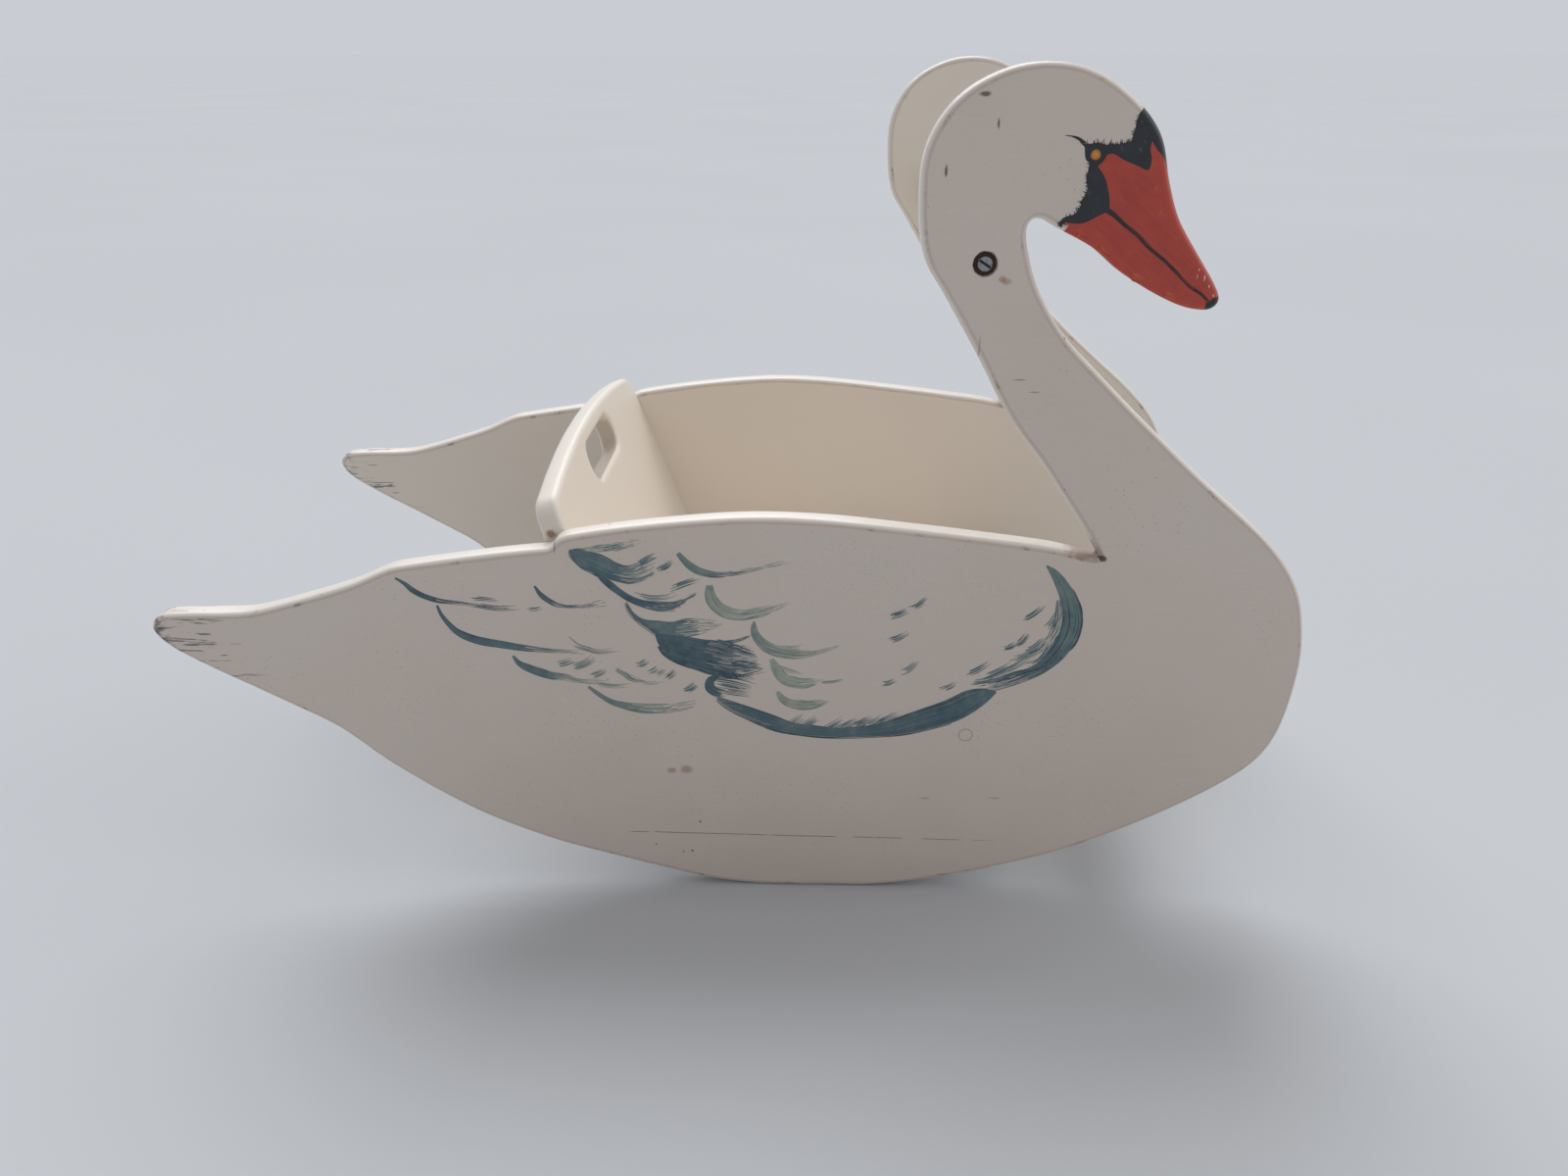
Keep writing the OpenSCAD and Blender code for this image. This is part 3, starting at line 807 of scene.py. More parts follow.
def flight_feathers(m):
    """Long single strokes towards the tail, with small hatched ones between them."""
    m.stroke([(-228, 266), (-222, 262), (-217, 257), (-211, 253), (-204, 250), (-196, 248), (-184, 247),
              (-170, 245), (-150, 244)], (1.5, 4.5, 4.5, 3.5, 2.5, 2.5, 3), (DEEP, DEEP, 0.3), 0.5, 0.45)
    m.hatch([(-176, 251), (-163, 250), (-152, 248)], 3, 0.2)
    m.hatch([(-176, 246), (-158, 243), (-141, 244)], 4, 0.15)
    m.hatch([(-139, 243), (-131, 243), (-124, 245)], 3, 0.2)
    m.stroke([(-130, 261), (-126, 254), (-120, 249), (-114, 246), (-105, 245), (-94, 246), (-80, 248)],
             (1.5, 4, 4, 3, 3.5, 5, 7), (DEEP, 0.2, 0.5), 0.4, 0.35)
    m.stroke([(-201, 245), (-199, 238), (-195, 231), (-189, 224), (-180, 219), (-170, 216), (-157, 214),
              (-145, 212), (-129, 210), (-113, 209), (-97, 208)], (2, 4, 6, 6.5, 6, 5, 3.5, 3, 3),
             (DEEP, 0.2, 0.3, 0.6), 0.75, 0.65)
    m.hatch([(-119, 198), (-112, 200), (-106, 203)], 5, 0.6)
    m.hatch([(-111, 196), (-100, 199), (-90, 206)], 6, 0.6)
    m.hatch([(-110, 220), (-104, 214), (-96, 211), (-87, 209), (-70, 212)], 4, 0.35)
    m.stroke([(-151, 205), (-147, 199), (-141, 195), (-134, 192), (-124, 189), (-114, 188), (-105, 185),
              (-93, 184), (-82, 185)], (2, 6, 7, 6, 4.5, 5, 6), (0.2, 0.5, 0.8), 0.55, 0.45)
    m.hatch([(-96, 189), (-90, 191), (-83, 195)], 5, 0.6)
    m.hatch([(-92, 183), (-80, 181), (-66, 182)], 4, 0.7)
    m.stroke([(-98, 180), (-91, 174), (-83, 168), (-75, 165), (-67, 163), (-57, 162), (-47, 162),
              (-36, 163), (-19, 166)], (2.5, 4, 6, 8, 8.5, 8, 7), (0.45, 0.7, 0.8), 0.6, 0.4)
    m.hatch([(-62, 199), (-57, 200), (-52, 204)], 5, 0.5)
    m.stroke([(-78, 196), (-72, 192), (-65, 187), (-53, 184), (-41, 185)], (3, 4.5, 3, 2.5),
             (0.6, 0.8), 0.3)
    m.hatch([(-54, 193), (-50, 194), (-45, 198)], 4, 0.6)
    m.hatch([(-49, 191), (-45, 192), (-40, 196)], 4, 0.7)
    m.hatch([(-42, 188), (-38, 190), (-33, 195)], 5, 0.6)
    m.hatch([(-28, 178), (-23, 180), (-18, 185)], 6, 0.4)


def filled_coverts(m):
    """Five dark feathers down the leading row, each with its dark lower edge."""
    m.fan([(-104, 287), (-102, 283), (-98, 278), (-93, 274), (-86, 270), (-79, 267), (-73, 265),
           (-64, 263), (-57, 264), (-50, 267), (-45, 270)],
          [(-103, 289), (-96, 290), (-90, 288), (-82, 286), (-76, 283), (-70, 279), (-64, 277),
           (-57, 279), (-51, 282), (-43, 285)], (0.2, 0.3, 0.5), 0.65, 0.65)
    m.stroke([(-104, 288), (-102, 283), (-98, 278), (-93, 274), (-86, 270), (-79, 267)], (1.5, 2.2, 2),
             (0.0, 0.1), 1.0)
    m.stroke([(-97, 289), (-82, 290), (-68, 292), (-54, 296)], (2, 6, 7, 5), (0.9, 0.7), 0.05)
    m.hatch([(-81, 290), (-68, 291), (-57, 294)], 4, 0.45)
    m.hatch([(-56, 278), (-48, 283), (-42, 286)], 5, 0.3)
    m.hatch([(-43, 274), (-37, 277), (-31, 282)], 5, 0.6)
    m.fan([(-86, 270), (-82, 264), (-77, 259), (-72, 255), (-67, 251), (-60, 247), (-52, 244),
           (-43, 242), (-35, 242), (-28, 245)],
          [(-85, 272), (-81, 269), (-75, 265), (-69, 259), (-62, 254), (-54, 251), (-43, 250),
           (-32, 250), (-24, 253), (-13, 259)], (0.1, 0.12, 0.35), 0.65, 0.65)
    m.hatch([(-60, 256), (-48, 253), (-36, 254), (-28, 258)], 4, 0.5)
    m.hatch([(-35, 259), (-24, 264), (-12, 268)], 5, 0.35)
    m.fan([(-66, 249), (-63, 239), (-57, 233), (-50, 227), (-44, 223), (-34, 221), (-25, 221),
           (-14, 224), (0, 230)],
          [(-66, 250), (-61, 241), (-54, 236), (-44, 235), (-34, 234), (-24, 237), (-15, 237), (-8, 236),
           (2, 234)], (0.3, 0.4, 0.65), 0.55, 0.6)
    m.stroke([(-67, 250), (-65, 243), (-62, 238), (-57, 233), (-51, 228), (-46, 224)], (1.5, 3, 3),
             (0.0, 0.1), 1.0)
    m.fan([(-47, 223), (-45, 216), (-42, 211), (-37, 206), (-28, 201), (-20, 198), (-12, 195), (-3, 192),
           (6, 189), (18, 190), (32, 194)],
          [(-47, 224), (-39, 225), (-28, 223), (-16, 221), (-4, 220), (8, 218), (17, 215), (24, 211)],
          (0.1, 0.15, 0.3), 0.7, 0.6)
    m.stroke([(-45, 214), (-40, 207), (-28, 201), (-14, 197), (2, 192), (16, 189)], (2, 4, 6, 7, 6, 5),
             (0.0, 0.1), 0.8, 0.8)
    m.stroke([(-4, 220), (4, 218), (13, 220), (22, 224)], (2, 3, 2.5, 1.5), (0.3, 0.25), 0.9)
    m.hatch([(4, 215), (14, 213), (23, 215)], 5, 0.4)
    m.hatch([(6, 202), (18, 200), (31, 199)], 6, 0.2)
    m.stroke([(-2, 190), (-8, 187), (-9, 181), (-5, 177), (3, 175)], (2, 6, 8, 8, 6),
             (0.15, 0.05, 0.2), 0.8, 0.8)
    m.hatch([(-6, 186), (7, 184), (22, 180)], 6, 0.1)
    m.hatch([(-4, 180), (8, 178), (24, 176)], 7, 0.15)
    m.hatch([(-3, 191), (12, 190), (26, 186)], 5, 0.2)


def scalloped_row(m):
    """Pale curved strokes in front of the filled feathers."""
    m.stroke([(-28, 287), (-24, 282), (-19, 277), (-12, 273), (-1, 271), (13, 273), (29, 277), (50, 282)],
             (3.5, 6, 5.5, 4, 3.5, 3.5, 4), (0.4, 0.6, 0.8), 0.4, 0.35)
    m.stroke([(-7, 263), (-6, 254), (-2, 247), (5, 242), (15, 240), (26, 242), (36, 245), (48, 250)],
             (5, 9, 10, 9, 8, 6, 2), (0.75, 0.85, 0.85), 0.65, 0.5)
    m.stroke([(24, 235), (24, 226), (28, 219), (34, 214), (42, 211), (54, 209), (65, 210), (76, 213),
              (86, 217)], (2, 6, 8.5, 9, 8.5, 5, 3, 1.5), (0.6, 0.8, 0.9), 0.6, 0.45)
    m.hatch([(40, 216), (50, 214), (61, 216)], 4, SAGE)
    m.stroke([(36, 205), (40, 196), (45, 189), (52, 186), (60, 185), (74, 188)], (4, 8, 9.5, 8, 2.5),
             (0.7, 0.85, 0.8), 0.7, 0.6)
    m.stroke([(40, 200), (46, 196), (59, 193)], (4, 4.5, 1), (0.75, 0.9), 0.7)
    m.hatch([(72, 186), (82, 187), (92, 190)], 2, SAGE)
    m.stroke([(40, 178), (44, 172), (50, 168), (58, 167), (68, 168), (78, 171)], (3, 7, 9, 8, 2.5),
             (0.75, 0.85, 0.8), 0.7, 0.6)


def wing_bend(m):
    """The heavy stroke round the front of the wing, the one along its lower edge, and the marks inside."""
    m.fan([(226, 281), (234, 276), (242, 267), (249, 256), (253, 246), (255, 237), (254, 228),
           (250, 218), (244, 208), (236, 200), (228, 194), (216, 188), (204, 183), (192, 179)],
          [(225, 280), (230, 271), (236, 258), (239, 247), (240, 237), (238, 226), (233, 214),
           (227, 205), (221, 200), (210, 197), (200, 193), (190, 190), (178, 188)],
          (0.75, 0.45, 0.3, 0.15, 0.15, 0.3, 0.5), 0.75, 0.8, 0.25)
    m.stroke([(243, 266), (249, 256), (253, 245), (254, 233), (252, 222), (247, 213)], (1, 1.8, 2.2, 1.5),
             (0.1, 0.0), 0.9)
    m.stroke([(240, 212), (232, 203), (222, 199)], (5, 7, 5), (0.15, 0.05), 0.8)
    m.stroke([(236, 256), (238, 244), (237, 232), (232, 220), (226, 210)], (3, 7, 8, 7, 4),
             (0.6, 0.45), 0.3)
    m.hatch([(176, 187), (190, 189), (206, 194)], 5, 0.6)
    m.fan([(199, 179), (191, 169), (181, 160), (171, 154), (159, 150), (144, 146), (128, 142),
           (110, 141), (92, 140), (74, 140), (59, 141), (45, 143), (30, 147), (16, 154), (4, 161),
           (-5, 169)],
          [(198, 181), (189, 183), (177, 181), (163, 173), (149, 167), (135, 161), (124, 156),
           (110, 151), (96, 149), (81, 148), (67, 150), (52, 152), (38, 158), (23, 164), (9, 169),
           (-4, 174)],
          (0.35, 0.1, 0.15, 0.35, 0.4, 0.25, 0.1), 0.97, 0.95, 0.15)
    m.stroke([(170, 153), (150, 147), (130, 142), (110, 140), (92, 139), (74, 139), (56, 141), (40, 144),
              (24, 150)], (1, 2, 1.6, 2, 1.8), (0.1, 0.0), 0.9)
    for x, z in ((50, 151), (60, 150), (78, 148), (88, 148), (98, 150), (108, 151), (118, 154)):
        m.hatch([(x - 4, z - 3), (x + 4, z + 2), (x + 12, z + 8)], 6, m.random.uniform(0.35, 0.6))
    m.hatch([(228, 206), (233, 214), (238, 226)], 5, 0.4)
    m.hatch([(218, 201), (228, 206), (236, 217)], 6, 0.35)
    m.hatch([(230, 232), (234, 237), (238, 246)], 6, 0.4)
    m.hatch([(214, 212), (223, 216), (231, 225)], 7, 0.4)
    m.hatch([(206, 206), (220, 211), (233, 219)], 5, 0.5)
    m.hatch([(186, 190), (198, 196), (212, 205)], 6, 0.4)
    m.hatch([(196, 194), (210, 201), (224, 212)], 5, 0.5)
    for part in ([(120, 240), (126, 242), (134, 246)], [(133, 246), (139, 249), (146, 256)],
                 [(119, 221), (126, 223), (134, 229)], [(129, 195), (135, 198), (142, 206)],
                 [(115, 186), (120, 186), (127, 190)], [(212, 238), (220, 243), (229, 252)],
                 [(208, 219), (213, 221), (218, 229)], [(201, 216), (206, 217), (211, 221)],
                 [(175, 194), (184, 198), (193, 206)], [(158, 181), (165, 184), (171, 189)]):
        m.hatch(part, 4.5, m.random.uniform(0.15, 0.45))


def paint_wing(side, seed):
    """The feathers of one wing."""
    m = Marks(side, seed)
    scalloped_row(m)
    flight_feathers(m)
    filled_coverts(m)
    wing_bend(m)
    return m


# Outlines of the painted head, in mm. Each list is one smooth curve; curves meet in corners.
MASK_INNER = ([(265.5, 546.5), (264.5, 547.8), (263, 549.8), (261, 552.5)],
              [(261, 552.5), (260.5, 549), (261, 546), (262, 542.5), (261.5, 537.5), (259.5, 536.5),
               (255, 538.5), (251, 540), (246, 542), (240.5, 545), (237.5, 545.5), (235.5, 544.5)],
              [(235.5, 544.5), (234, 541.5), (231, 538.5)],
              [(231, 538.5), (234, 535), (236, 532), (237.5, 528.5), (239.5, 522.5), (240.5, 516),
               (240, 513.5)],
              [(240, 513), (234.5, 510.5), (231, 508.5), (226.5, 506.5), (221.5, 506), (216, 506.5),
               (211.5, 506)])
MASK_LEFT = ([(211.5, 506.5), (214, 509.5), (220, 511.5), (223, 515.5), (223.5, 519), (225, 522),
              (226.5, 526), (225.5, 529), (225, 532), (225.5, 536), (226, 540)],
             [(226, 540), (223.5, 542.5), (222.5, 546.5), (222, 551)])
MASK_TOP = ([(222, 551), (226.5, 551), (230, 551.5), (234, 550.5), (238, 550.5), (243, 551),
             (249, 552.5)],
            [(249, 552.5), (249.5, 556), (250.5, 559), (250.5, 562), (251.5, 566)])
RED_HIDDEN = [(214, 505), (218, 508), (226, 509), (233, 513), (237, 518), (236, 525), (233, 532),
              (229, 537), (229, 541), (233, 547), (238, 548), (246, 545), (254, 542), (258.5, 541),
              (258.5, 548), (259.5, 555), (262, 553), (263.5, 550)]
FOREHEAD, NOTCH, BROW, THROAT = (252, 567), (265.5, 547), (269.2, 533.5), (217, 503)
NAIL_TOP, NAIL_LOW = (312, 462), (306, 456)
EYE = (229, 545)
# painted highlights: pale glints on the glossy black mask, drawn as fine strokes
MASK_GLINTS = ((254, 562), (256, 558), (258, 555), (249, 549), (252, 545), (255, 547), (257, 551),
               (245, 548), (230, 531), (228, 523), (233, 520), (226, 514), (232, 512))

# On the beak, in mm: strokes, lighter strokes with their run in X and Z, and chips with their length
BEAK_STROKES = ((246, 530), (253, 522), (260, 528), (249, 513), (262, 513), (258, 501), (270, 503),
                (268, 489), (280, 492), (276, 480), (290, 483), (287, 472), (298, 471), (240, 503),
                (250, 494), (262, 482))
BEAK_LIGHTS = ((264, 540, -1, 9), (236, 538, 6, 3), (225, 503, 9, -1), (236, 506, 7, 3),
               (226, 499, 9, -4), (247, 519, 1, 6), (268, 526, 1, 8), (272, 512, 3, 8),
               (284, 497, 6, -9), (240, 490, 9, -6), (262, 474, 10, -5), (284, 463, 10, -3))
BEAK_CHIPS = ((298.5, 475, 1.5), (303, 474, 1.9), (306.5, 469, 1.0), (299, 479, 0.8), (310, 463.5, 0.8))


def joined(curves, spacing=0.7):
    """The points of several smooth curves, one after another."""
    return [tuple(p) for curve in curves for p in curve_through(curve, spacing)]


def ring_of(middle, radius, uneven, count=40):
    """A slightly uneven circle."""
    angles = np.linspace(0, 2 * math.pi, count, endpoint=False)
    return [(middle[0] + radius * math.cos(a) * (1 + uneven * math.sin(3 * a + radius)),
             middle[1] + radius * math.sin(a)) for a in angles]


def nearest(loop, point):
    """Index of the loop's point nearest to a point in mm."""
    return int(np.argmin(np.linalg.norm(loop / MM - np.array(point, float), axis=1)))


def part_of(loop, first, last):
    """Indices from first to last, going round the closed loop the short way."""
    count = len(loop)
    ahead = (last - first) % count
    if ahead <= count / 2:
        return [(first + i) % count for i in range(ahead + 1)]
    return [(first - i) % count for i in range((first - last) % count + 1)]


def paint_head(side, seed, rings):
    """Red beak, black mask, eye, mouth line and nail. Returns one Marks for each colour."""
    flat = rings[0][0]                       # where the rounded edge meets the outer face
    at = {name: nearest(flat, p) for name, p in (("forehead", FOREHEAD), ("notch", NOTCH), ("brow", BROW),
                                                 ("throat", THROAT), ("nail_top", NAIL_TOP),
                                                 ("nail_low", NAIL_LOW))}

    def along(a, b):
        return [tuple(flat[i] / MM) for i in part_of(flat, at[a], at[b])]

    wrap = rings[:EDGE_STEPS * 2 + 2]
    red = Marks(side, seed)
    red.patch(along("notch", "throat") + RED_HIDDEN, 0.5 * COAT, 0.35)
    red.skin(wrap, part_of(flat, at["notch"], at["throat"]), 0.5, 0.5 * COAT)
    for x, z in BEAK_STROKES:
        path = [(x - 8, z + 6), (x, z), (x + 8, z - 7)]
        red.stroke(path, (6, 8, 6), (0.1, red.random.uniform(0.1, 0.5)), 0.6)
    for x, z, dx, dz in BEAK_LIGHTS:
        path = [(x - dx / 2, z - dz / 2), (x, z), (x + dx / 2, z + dz / 2)]
        red.stroke(path, (3.5, 4.5, 3), (0.85, 0.7), 0.5)

    black = Marks(side, seed + 1, 0.06 * MM)
    black.patch(along("forehead", "notch") + joined(MASK_INNER + MASK_LEFT + MASK_TOP), COAT, 0.2)
    black.skin(wrap, part_of(flat, at["forehead"], at["brow"]), 0.2, slant=abs(at["notch"] - at["brow"]))
    black.fringe(MASK_LEFT[0][1:], 2.1, (0.0, 0.35))
    for curve in MASK_TOP:
        black.fringe(curve, 2.5, (0.15, 0.25))
    black.fringe([(215, 506.5), (211.5, 504.5), (213, 508)], 1.6)
    # painted highlights on the black mask
    for x, z in MASK_GLINTS:
        black.hatch([(x - 0.6, z + 2.5), (x, z), (x + 0.9, z - 2.5)], 2.2, black.random.uniform(0.5, 1.0))
    black.patch(ring_of((229, 545.5), 6.0, 0.04), COAT * 1.15, 0.1)
    black.stroke([(210, 555.5), (215, 555), (219, 553.5), (223, 550)], (0.3, 0.8, 1.5, 2.6),
                 (0.1, 0.1), 1.0, 1.0)
    mouth = Marks(side, seed + 4, 0.05 * MM)
    mouth.stroke([(239, 514), (244.5, 510.5), (250.5, 505.5), (255.5, 502), (260.5, 498), (267, 492),
                  (272.5, 488), (278, 484), (286, 477), (295, 469), (302.5, 464.5), (308.5, 459)],
                 (3.5, 2.5, 2.2, 2.2, 2.0, 2.0, 1.8), (0.3, 0.3), 1.0, 1.0)
    black.patch(along("nail_top", "nail_low") + [(306, 458.5), (309, 460.5)], COAT, 0.1)
    black.skin(wrap, part_of(flat, at["nail_top"], at["nail_low"]), 0.1)

    eye = Marks(side, seed + 2)
    for radius, height, tint in ((3.3, 0.20 * MM, 0.0), (2.7, 0.23 * MM, 0.55), (1.5, 0.25 * MM, 0.9)):
        eye.patch(ring_of(EYE, radius, 0.05, 30), height, tint)

    flecks = Marks(side, seed + 3, 0.05 * MM)
    for x, z, long in BEAK_CHIPS:
        flecks.ribbon(np.array([(x, z + long), (x + 0.2, z), (x + 0.1, z - long)]), (0.2, 0.5, 0.2),
                      flecks.lift + 0.14 * MM, 0.5)
    return {"beak_red": red, "mask_black": black, "mouth_line": mouth, "eye_dot": eye,
            "beak_flecks": flecks}


# ---------------------------------------------------------------- pieces

X, Y, Z = Vector((1, 0, 0)), Vector((0, 1, 0)), Vector((0, 0, 1))


def side_board(word, side):
    """Swan board with rounded edges, the counterbored handlebar hole and six plugged screw holes."""
    node = "side_board_" + word
    loops, front = face_loops(node, X, Z, Y * side)
    outline = soften(resample(loops[0], SPACING), CORNER, SPACING)
    low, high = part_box(node)
    board = Board(X, Z, Y * side, front - FACE_INSET, high.y - low.y - FACE_INSET)
    rings = board.edge(outline, ROUND_OVER * wobble(outline, 0.16, side))
    pivot = centre("handle_screw_" + word)
    washer_low, washer_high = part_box("washer_" + word)
    cbore = (washer_high.x - washer_low.x) / 2 + WASHER_ROOM
    floor = front - FACE_INSET - min(abs(washer_low.y), abs(washer_high.y))
    board.bore((pivot.x, pivot.z), [(cbore + 0.5 * MM, 0), (cbore, 0.7 * MM), (cbore, floor),
                                    (PIVOT_HOLE, floor), (PIVOT_HOLE, board.thickness)], 0.06)
    for group in ("seat", "back", "foot"):
        for x, z, radius, depth in plug_places(group, word):
            narrow = SCREW_SHARE * radius
            board.bore((x, z), [(radius, 0), (radius, depth), (narrow, depth + 2 * MM),
                                (narrow, board.thickness)])
    return board.build("painted_" + node), rings


def plug_places(group, word):
    """X, Z, radius and depth of each plug in a node, from its separate solids' vertices."""
    co = np.array([v.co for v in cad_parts[f"{group}_plugs_{word}"].data.vertices])
    spread = co.max(0) - co.min(0)
    axis = 0 if spread[0] > spread[2] else 2
    middle = (co[:, axis].max() + co[:, axis].min()) / 2
    places = []
    for part in (co[co[:, axis] < middle], co[co[:, axis] > middle]):
        low, high = part.min(0), part.max(0)
        places.append(((low[0] + high[0]) / 2, (low[2] + high[2]) / 2, (high[0] - low[0]) / 2,
                       high[1] - low[1] - FACE_INSET))
    return places


def plugs(group, word, side):
    """Wooden plugs, sanded flush with the board's face and painted over."""
    verts, faces = [], []
    face = abs(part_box("side_board_left")[1].y) - FACE_INSET
    for x, z, radius, depth in plug_places(group, word):
        rows = []
        for r, y in ((radius * 0.5, face + 0.02 * MM), (radius * 0.98, face + 0.01 * MM),
                     (radius, face - 0.02 * MM), (radius, face - depth + 0.2 * MM)):
            first = len(verts)
            verts += [(x + r * math.cos(a), side * y, z + r * math.sin(a))
                      for a in (2 * math.pi * i / ROUND for i in range(ROUND))]
            rows.append(first)
        for a, b in zip(rows, rows[1:]):
            faces += band(a, b, ROUND)
        faces += [tuple(range(rows[0], rows[0] + ROUND)), tuple(range(rows[-1], rows[-1] + ROUND))]
    return mesh_object(f"painted_{group}_plugs_{word}", verts, faces, {"rim": [0.0] * len(verts)})


def cross_board(node):
    """Seat or foot board: its CAD profile, run across from board to board."""
    loops, front = face_loops(node, X, Z, Y)
    outline = soften(resample(loops[0], 1.0 * MM), 0.8 * MM, 1.0 * MM)
    board = Board(X, Z, Y, front, 2 * front)
    board.edge(outline, np.full(len(outline), SHARP_EDGE))
    return board.build("painted_" + node)


def back_board():
    """Backrest with an arched top and a hand hole, rounded wherever it stands clear of the swan boards."""
    n = main_normal("back_board", (1, 0, 0.3))
    v = Vector((-n.z, 0, n.x))
    loops, front = face_loops("back_board", Y, v, n)
    step = v.dot(Vector(STEP))
    back = min(n.dot(w.co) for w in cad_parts["back_board"].data.vertices)
    thickness = front - max(back, front - 18 * MM)
    board = Board(Y, v, n, front, thickness)
    outline = soften(resample(loops[0], SPACING), 2 * MM, SPACING)
    clear = np.clip((outline[:, 1] - step + 2 * MM) / (8 * MM), 0, 1)
    board.edge(outline, (SHARP_EDGE + (ROUND_OVER - SHARP_EDGE) * clear) * wobble(outline, 0.1, 5))
    hole = soften(resample(loops[1], SPACING), 2 * MM, SPACING)
    board.edge(hole, ROUND_OVER * wobble(hole, 0.1, 6))
    return board.build("painted_back_board")


def lathe(name, middle, profile, count=72, uneven=0.0):
    """A solid turned about a line along Y through middle; profile lists (y, radius) from end to end."""
    verts, faces, rims = [], [], []
    for k, (y, radius) in enumerate(profile):
        for i in range(count):
            a = 2 * math.pi * i / count
            r = radius * (1 + uneven * noise.noise(Vector((math.cos(a) * 1.5, math.sin(a) * 1.5, y * 22))))
            verts.append((middle.x + r * math.cos(a), y, middle.z + r * math.sin(a)))
            rims.append(0.0)
    for k in range(len(profile) - 1):
        faces += band(k * count, (k + 1) * count, count)
    faces += [tuple(range(count)), tuple(range(len(verts) - count, len(verts)))]
    return mesh_object(name, verts, faces, {"rim": rims})


def handlebar():
    """Round bar with chamfered ends, a little uneven, as a dowel sanded by hand is."""
    low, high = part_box("handlebar")
    radius, end = (high.x - low.x) / 2, high.y
    profile = [(-end, radius - BAR_CHAMFER), (-end + BAR_CHAMFER, radius)]
    shank, steps = 2 * (end - BAR_CHAMFER), 40
    profile += [(-end + BAR_CHAMFER + shank * k / steps, radius * 0.995) for k in range(1, steps)]
    profile += [(end - BAR_CHAMFER, radius), (end, radius - BAR_CHAMFER)]
    return lathe("painted_handlebar", centre("handlebar"), profile, uneven=0.006)


def arc_points(radius, half_gap, sign, count=24):
    """Half of a slotted head, seen from outside: the land on one side of the slot, anticlockwise."""
    start = math.asin(half_gap / radius)
    angles = [start + (math.pi - 2 * start) * i / count for i in range(count + 1)]
    return [(radius * math.cos(a) * sign, radius * math.sin(a) * sign) for a in angles]


def unit_circle(count=64):
    """Points on a circle of radius 1, anticlockwise."""
    angles = np.linspace(0, 2 * math.pi, count, endpoint=False)
    return np.array([(math.cos(a), math.sin(a)) for a in angles])


def slot_axes():
    """Directions along and across the screw's slot."""
    turn = math.radians(SLOT_TURN)
    return Vector((math.cos(turn), 0, math.sin(turn))), Vector((-math.sin(turn), 0, math.cos(turn)))


def slot_dirt(word, side):
    """Dirt packed in the slot of the screw."""
    middle = centre("handle_screw_" + word)
    low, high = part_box("handle_screw_" + word)
    reach, half = (high.x - low.x) / 2 - DIRT_END, SLOT_HALF + 0.02 * MM
    outer = max(abs(low.y), abs(high.y))
    u, v = slot_axes()
    board = Board(u, v, Y * side, outer - DIRT_DEPTH, SLOT_DEPTH - DIRT_DEPTH + 0.05 * MM)
    loop = np.array([(-reach, -half), (reach, -half), (reach, half), (-reach, half)])
    loop = resample(loop, 0.3 * MM) + np.array([u.dot(middle), v.dot(middle)])
    land_edge(board, loop, 0.1 * MM)
    return board.build("slot_dirt_" + word)


def handle_screw(word, side):
    """Slotted pan head in its counterbore, with its shaft through the board into the handlebar."""
    node = "handle_screw_" + word
    middle = centre(node)
    low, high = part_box(node)
    head_r = (high.x - low.x) / 2
    outer, inner = max(abs(low.y), abs(high.y)), min(abs(low.y), abs(high.y))
    slot_floor, under = outer - SLOT_DEPTH, outer - HEAD_HEIGHT
    u, v = slot_axes()
    verts, faces = [], []

    def add(board):
        board.close()
        base = len(verts)
        offset = Vector((middle.x, 0, middle.z))
        verts.extend(p + offset for p in board.verts)
        faces.extend(tuple(base + i for i in f) for f in board.faces)

    for sign in (1, -1):
        loop = resample(np.array(arc_points(head_r - 0.1 * MM, SLOT_HALF, sign)), 0.3 * MM)
        lands = Board(u, v, Y * side, outer, SLOT_DEPTH + 0.1 * MM)
        land_edge(lands, soften(loop, 0.15 * MM, 0.3 * MM), 0.35 * MM)
        add(lands)
    circle = unit_circle()
    for radius, top, bottom in ((head_r, slot_floor, under), (PIVOT_SHAFT, under + 0.1 * MM, inner)):
        disc = Board(u, v, Y * side, top, top - bottom)
        land_edge(disc, circle * radius, 0.2 * MM)
        add(disc)
    return mesh_object("slotted_" + node, verts, faces)


def land_edge(board, loop, radius):
    """Board.edge at the scale of a screw, without the wide support ring."""
    rings = []
    for k in range(4):
        a = math.pi / 2 * (1 - k / 3)
        rings.append((loop + inward(loop) * radius * (1 - math.cos(a)), radius * (1 - math.sin(a))))
    rings += [(loop, board.thickness)]
    firsts = [board.ring(r, d, 0.0) for r, d in rings]
    for a, b in zip(firsts, firsts[1:]):
        board.join(a, b, len(loop))
    board.openings["front"].append((firsts[0], len(loop)))
    board.openings["back"].append((firsts[-1], len(loop)))


def washer(word, side):
    """Rusted washer with a ragged rim of old paint and dirt."""
    node = "washer_" + word
    middle = centre(node)
    low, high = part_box(node)
    outer, inner = max(abs(low.y), abs(high.y)), min(abs(low.y), abs(high.y))
    radius = (high.x - low.x) / 2
    board = Board(X, Z, Y * side, outer, outer - inner)
    circle = unit_circle()
    rough = np.array([1 + 0.02 * noise.noise(Vector((p[0] * 4, p[1] * 4, 3))) for p in circle])
    shift = np.array([middle.x, middle.z])
    land_edge(board, circle * (radius * rough * 0.995)[:, None] + shift, 0.3 * MM)
    land_edge(board, circle[::-1] * PIVOT_HOLE + shift, 0.15 * MM)
    return board.build("rusty_" + node)


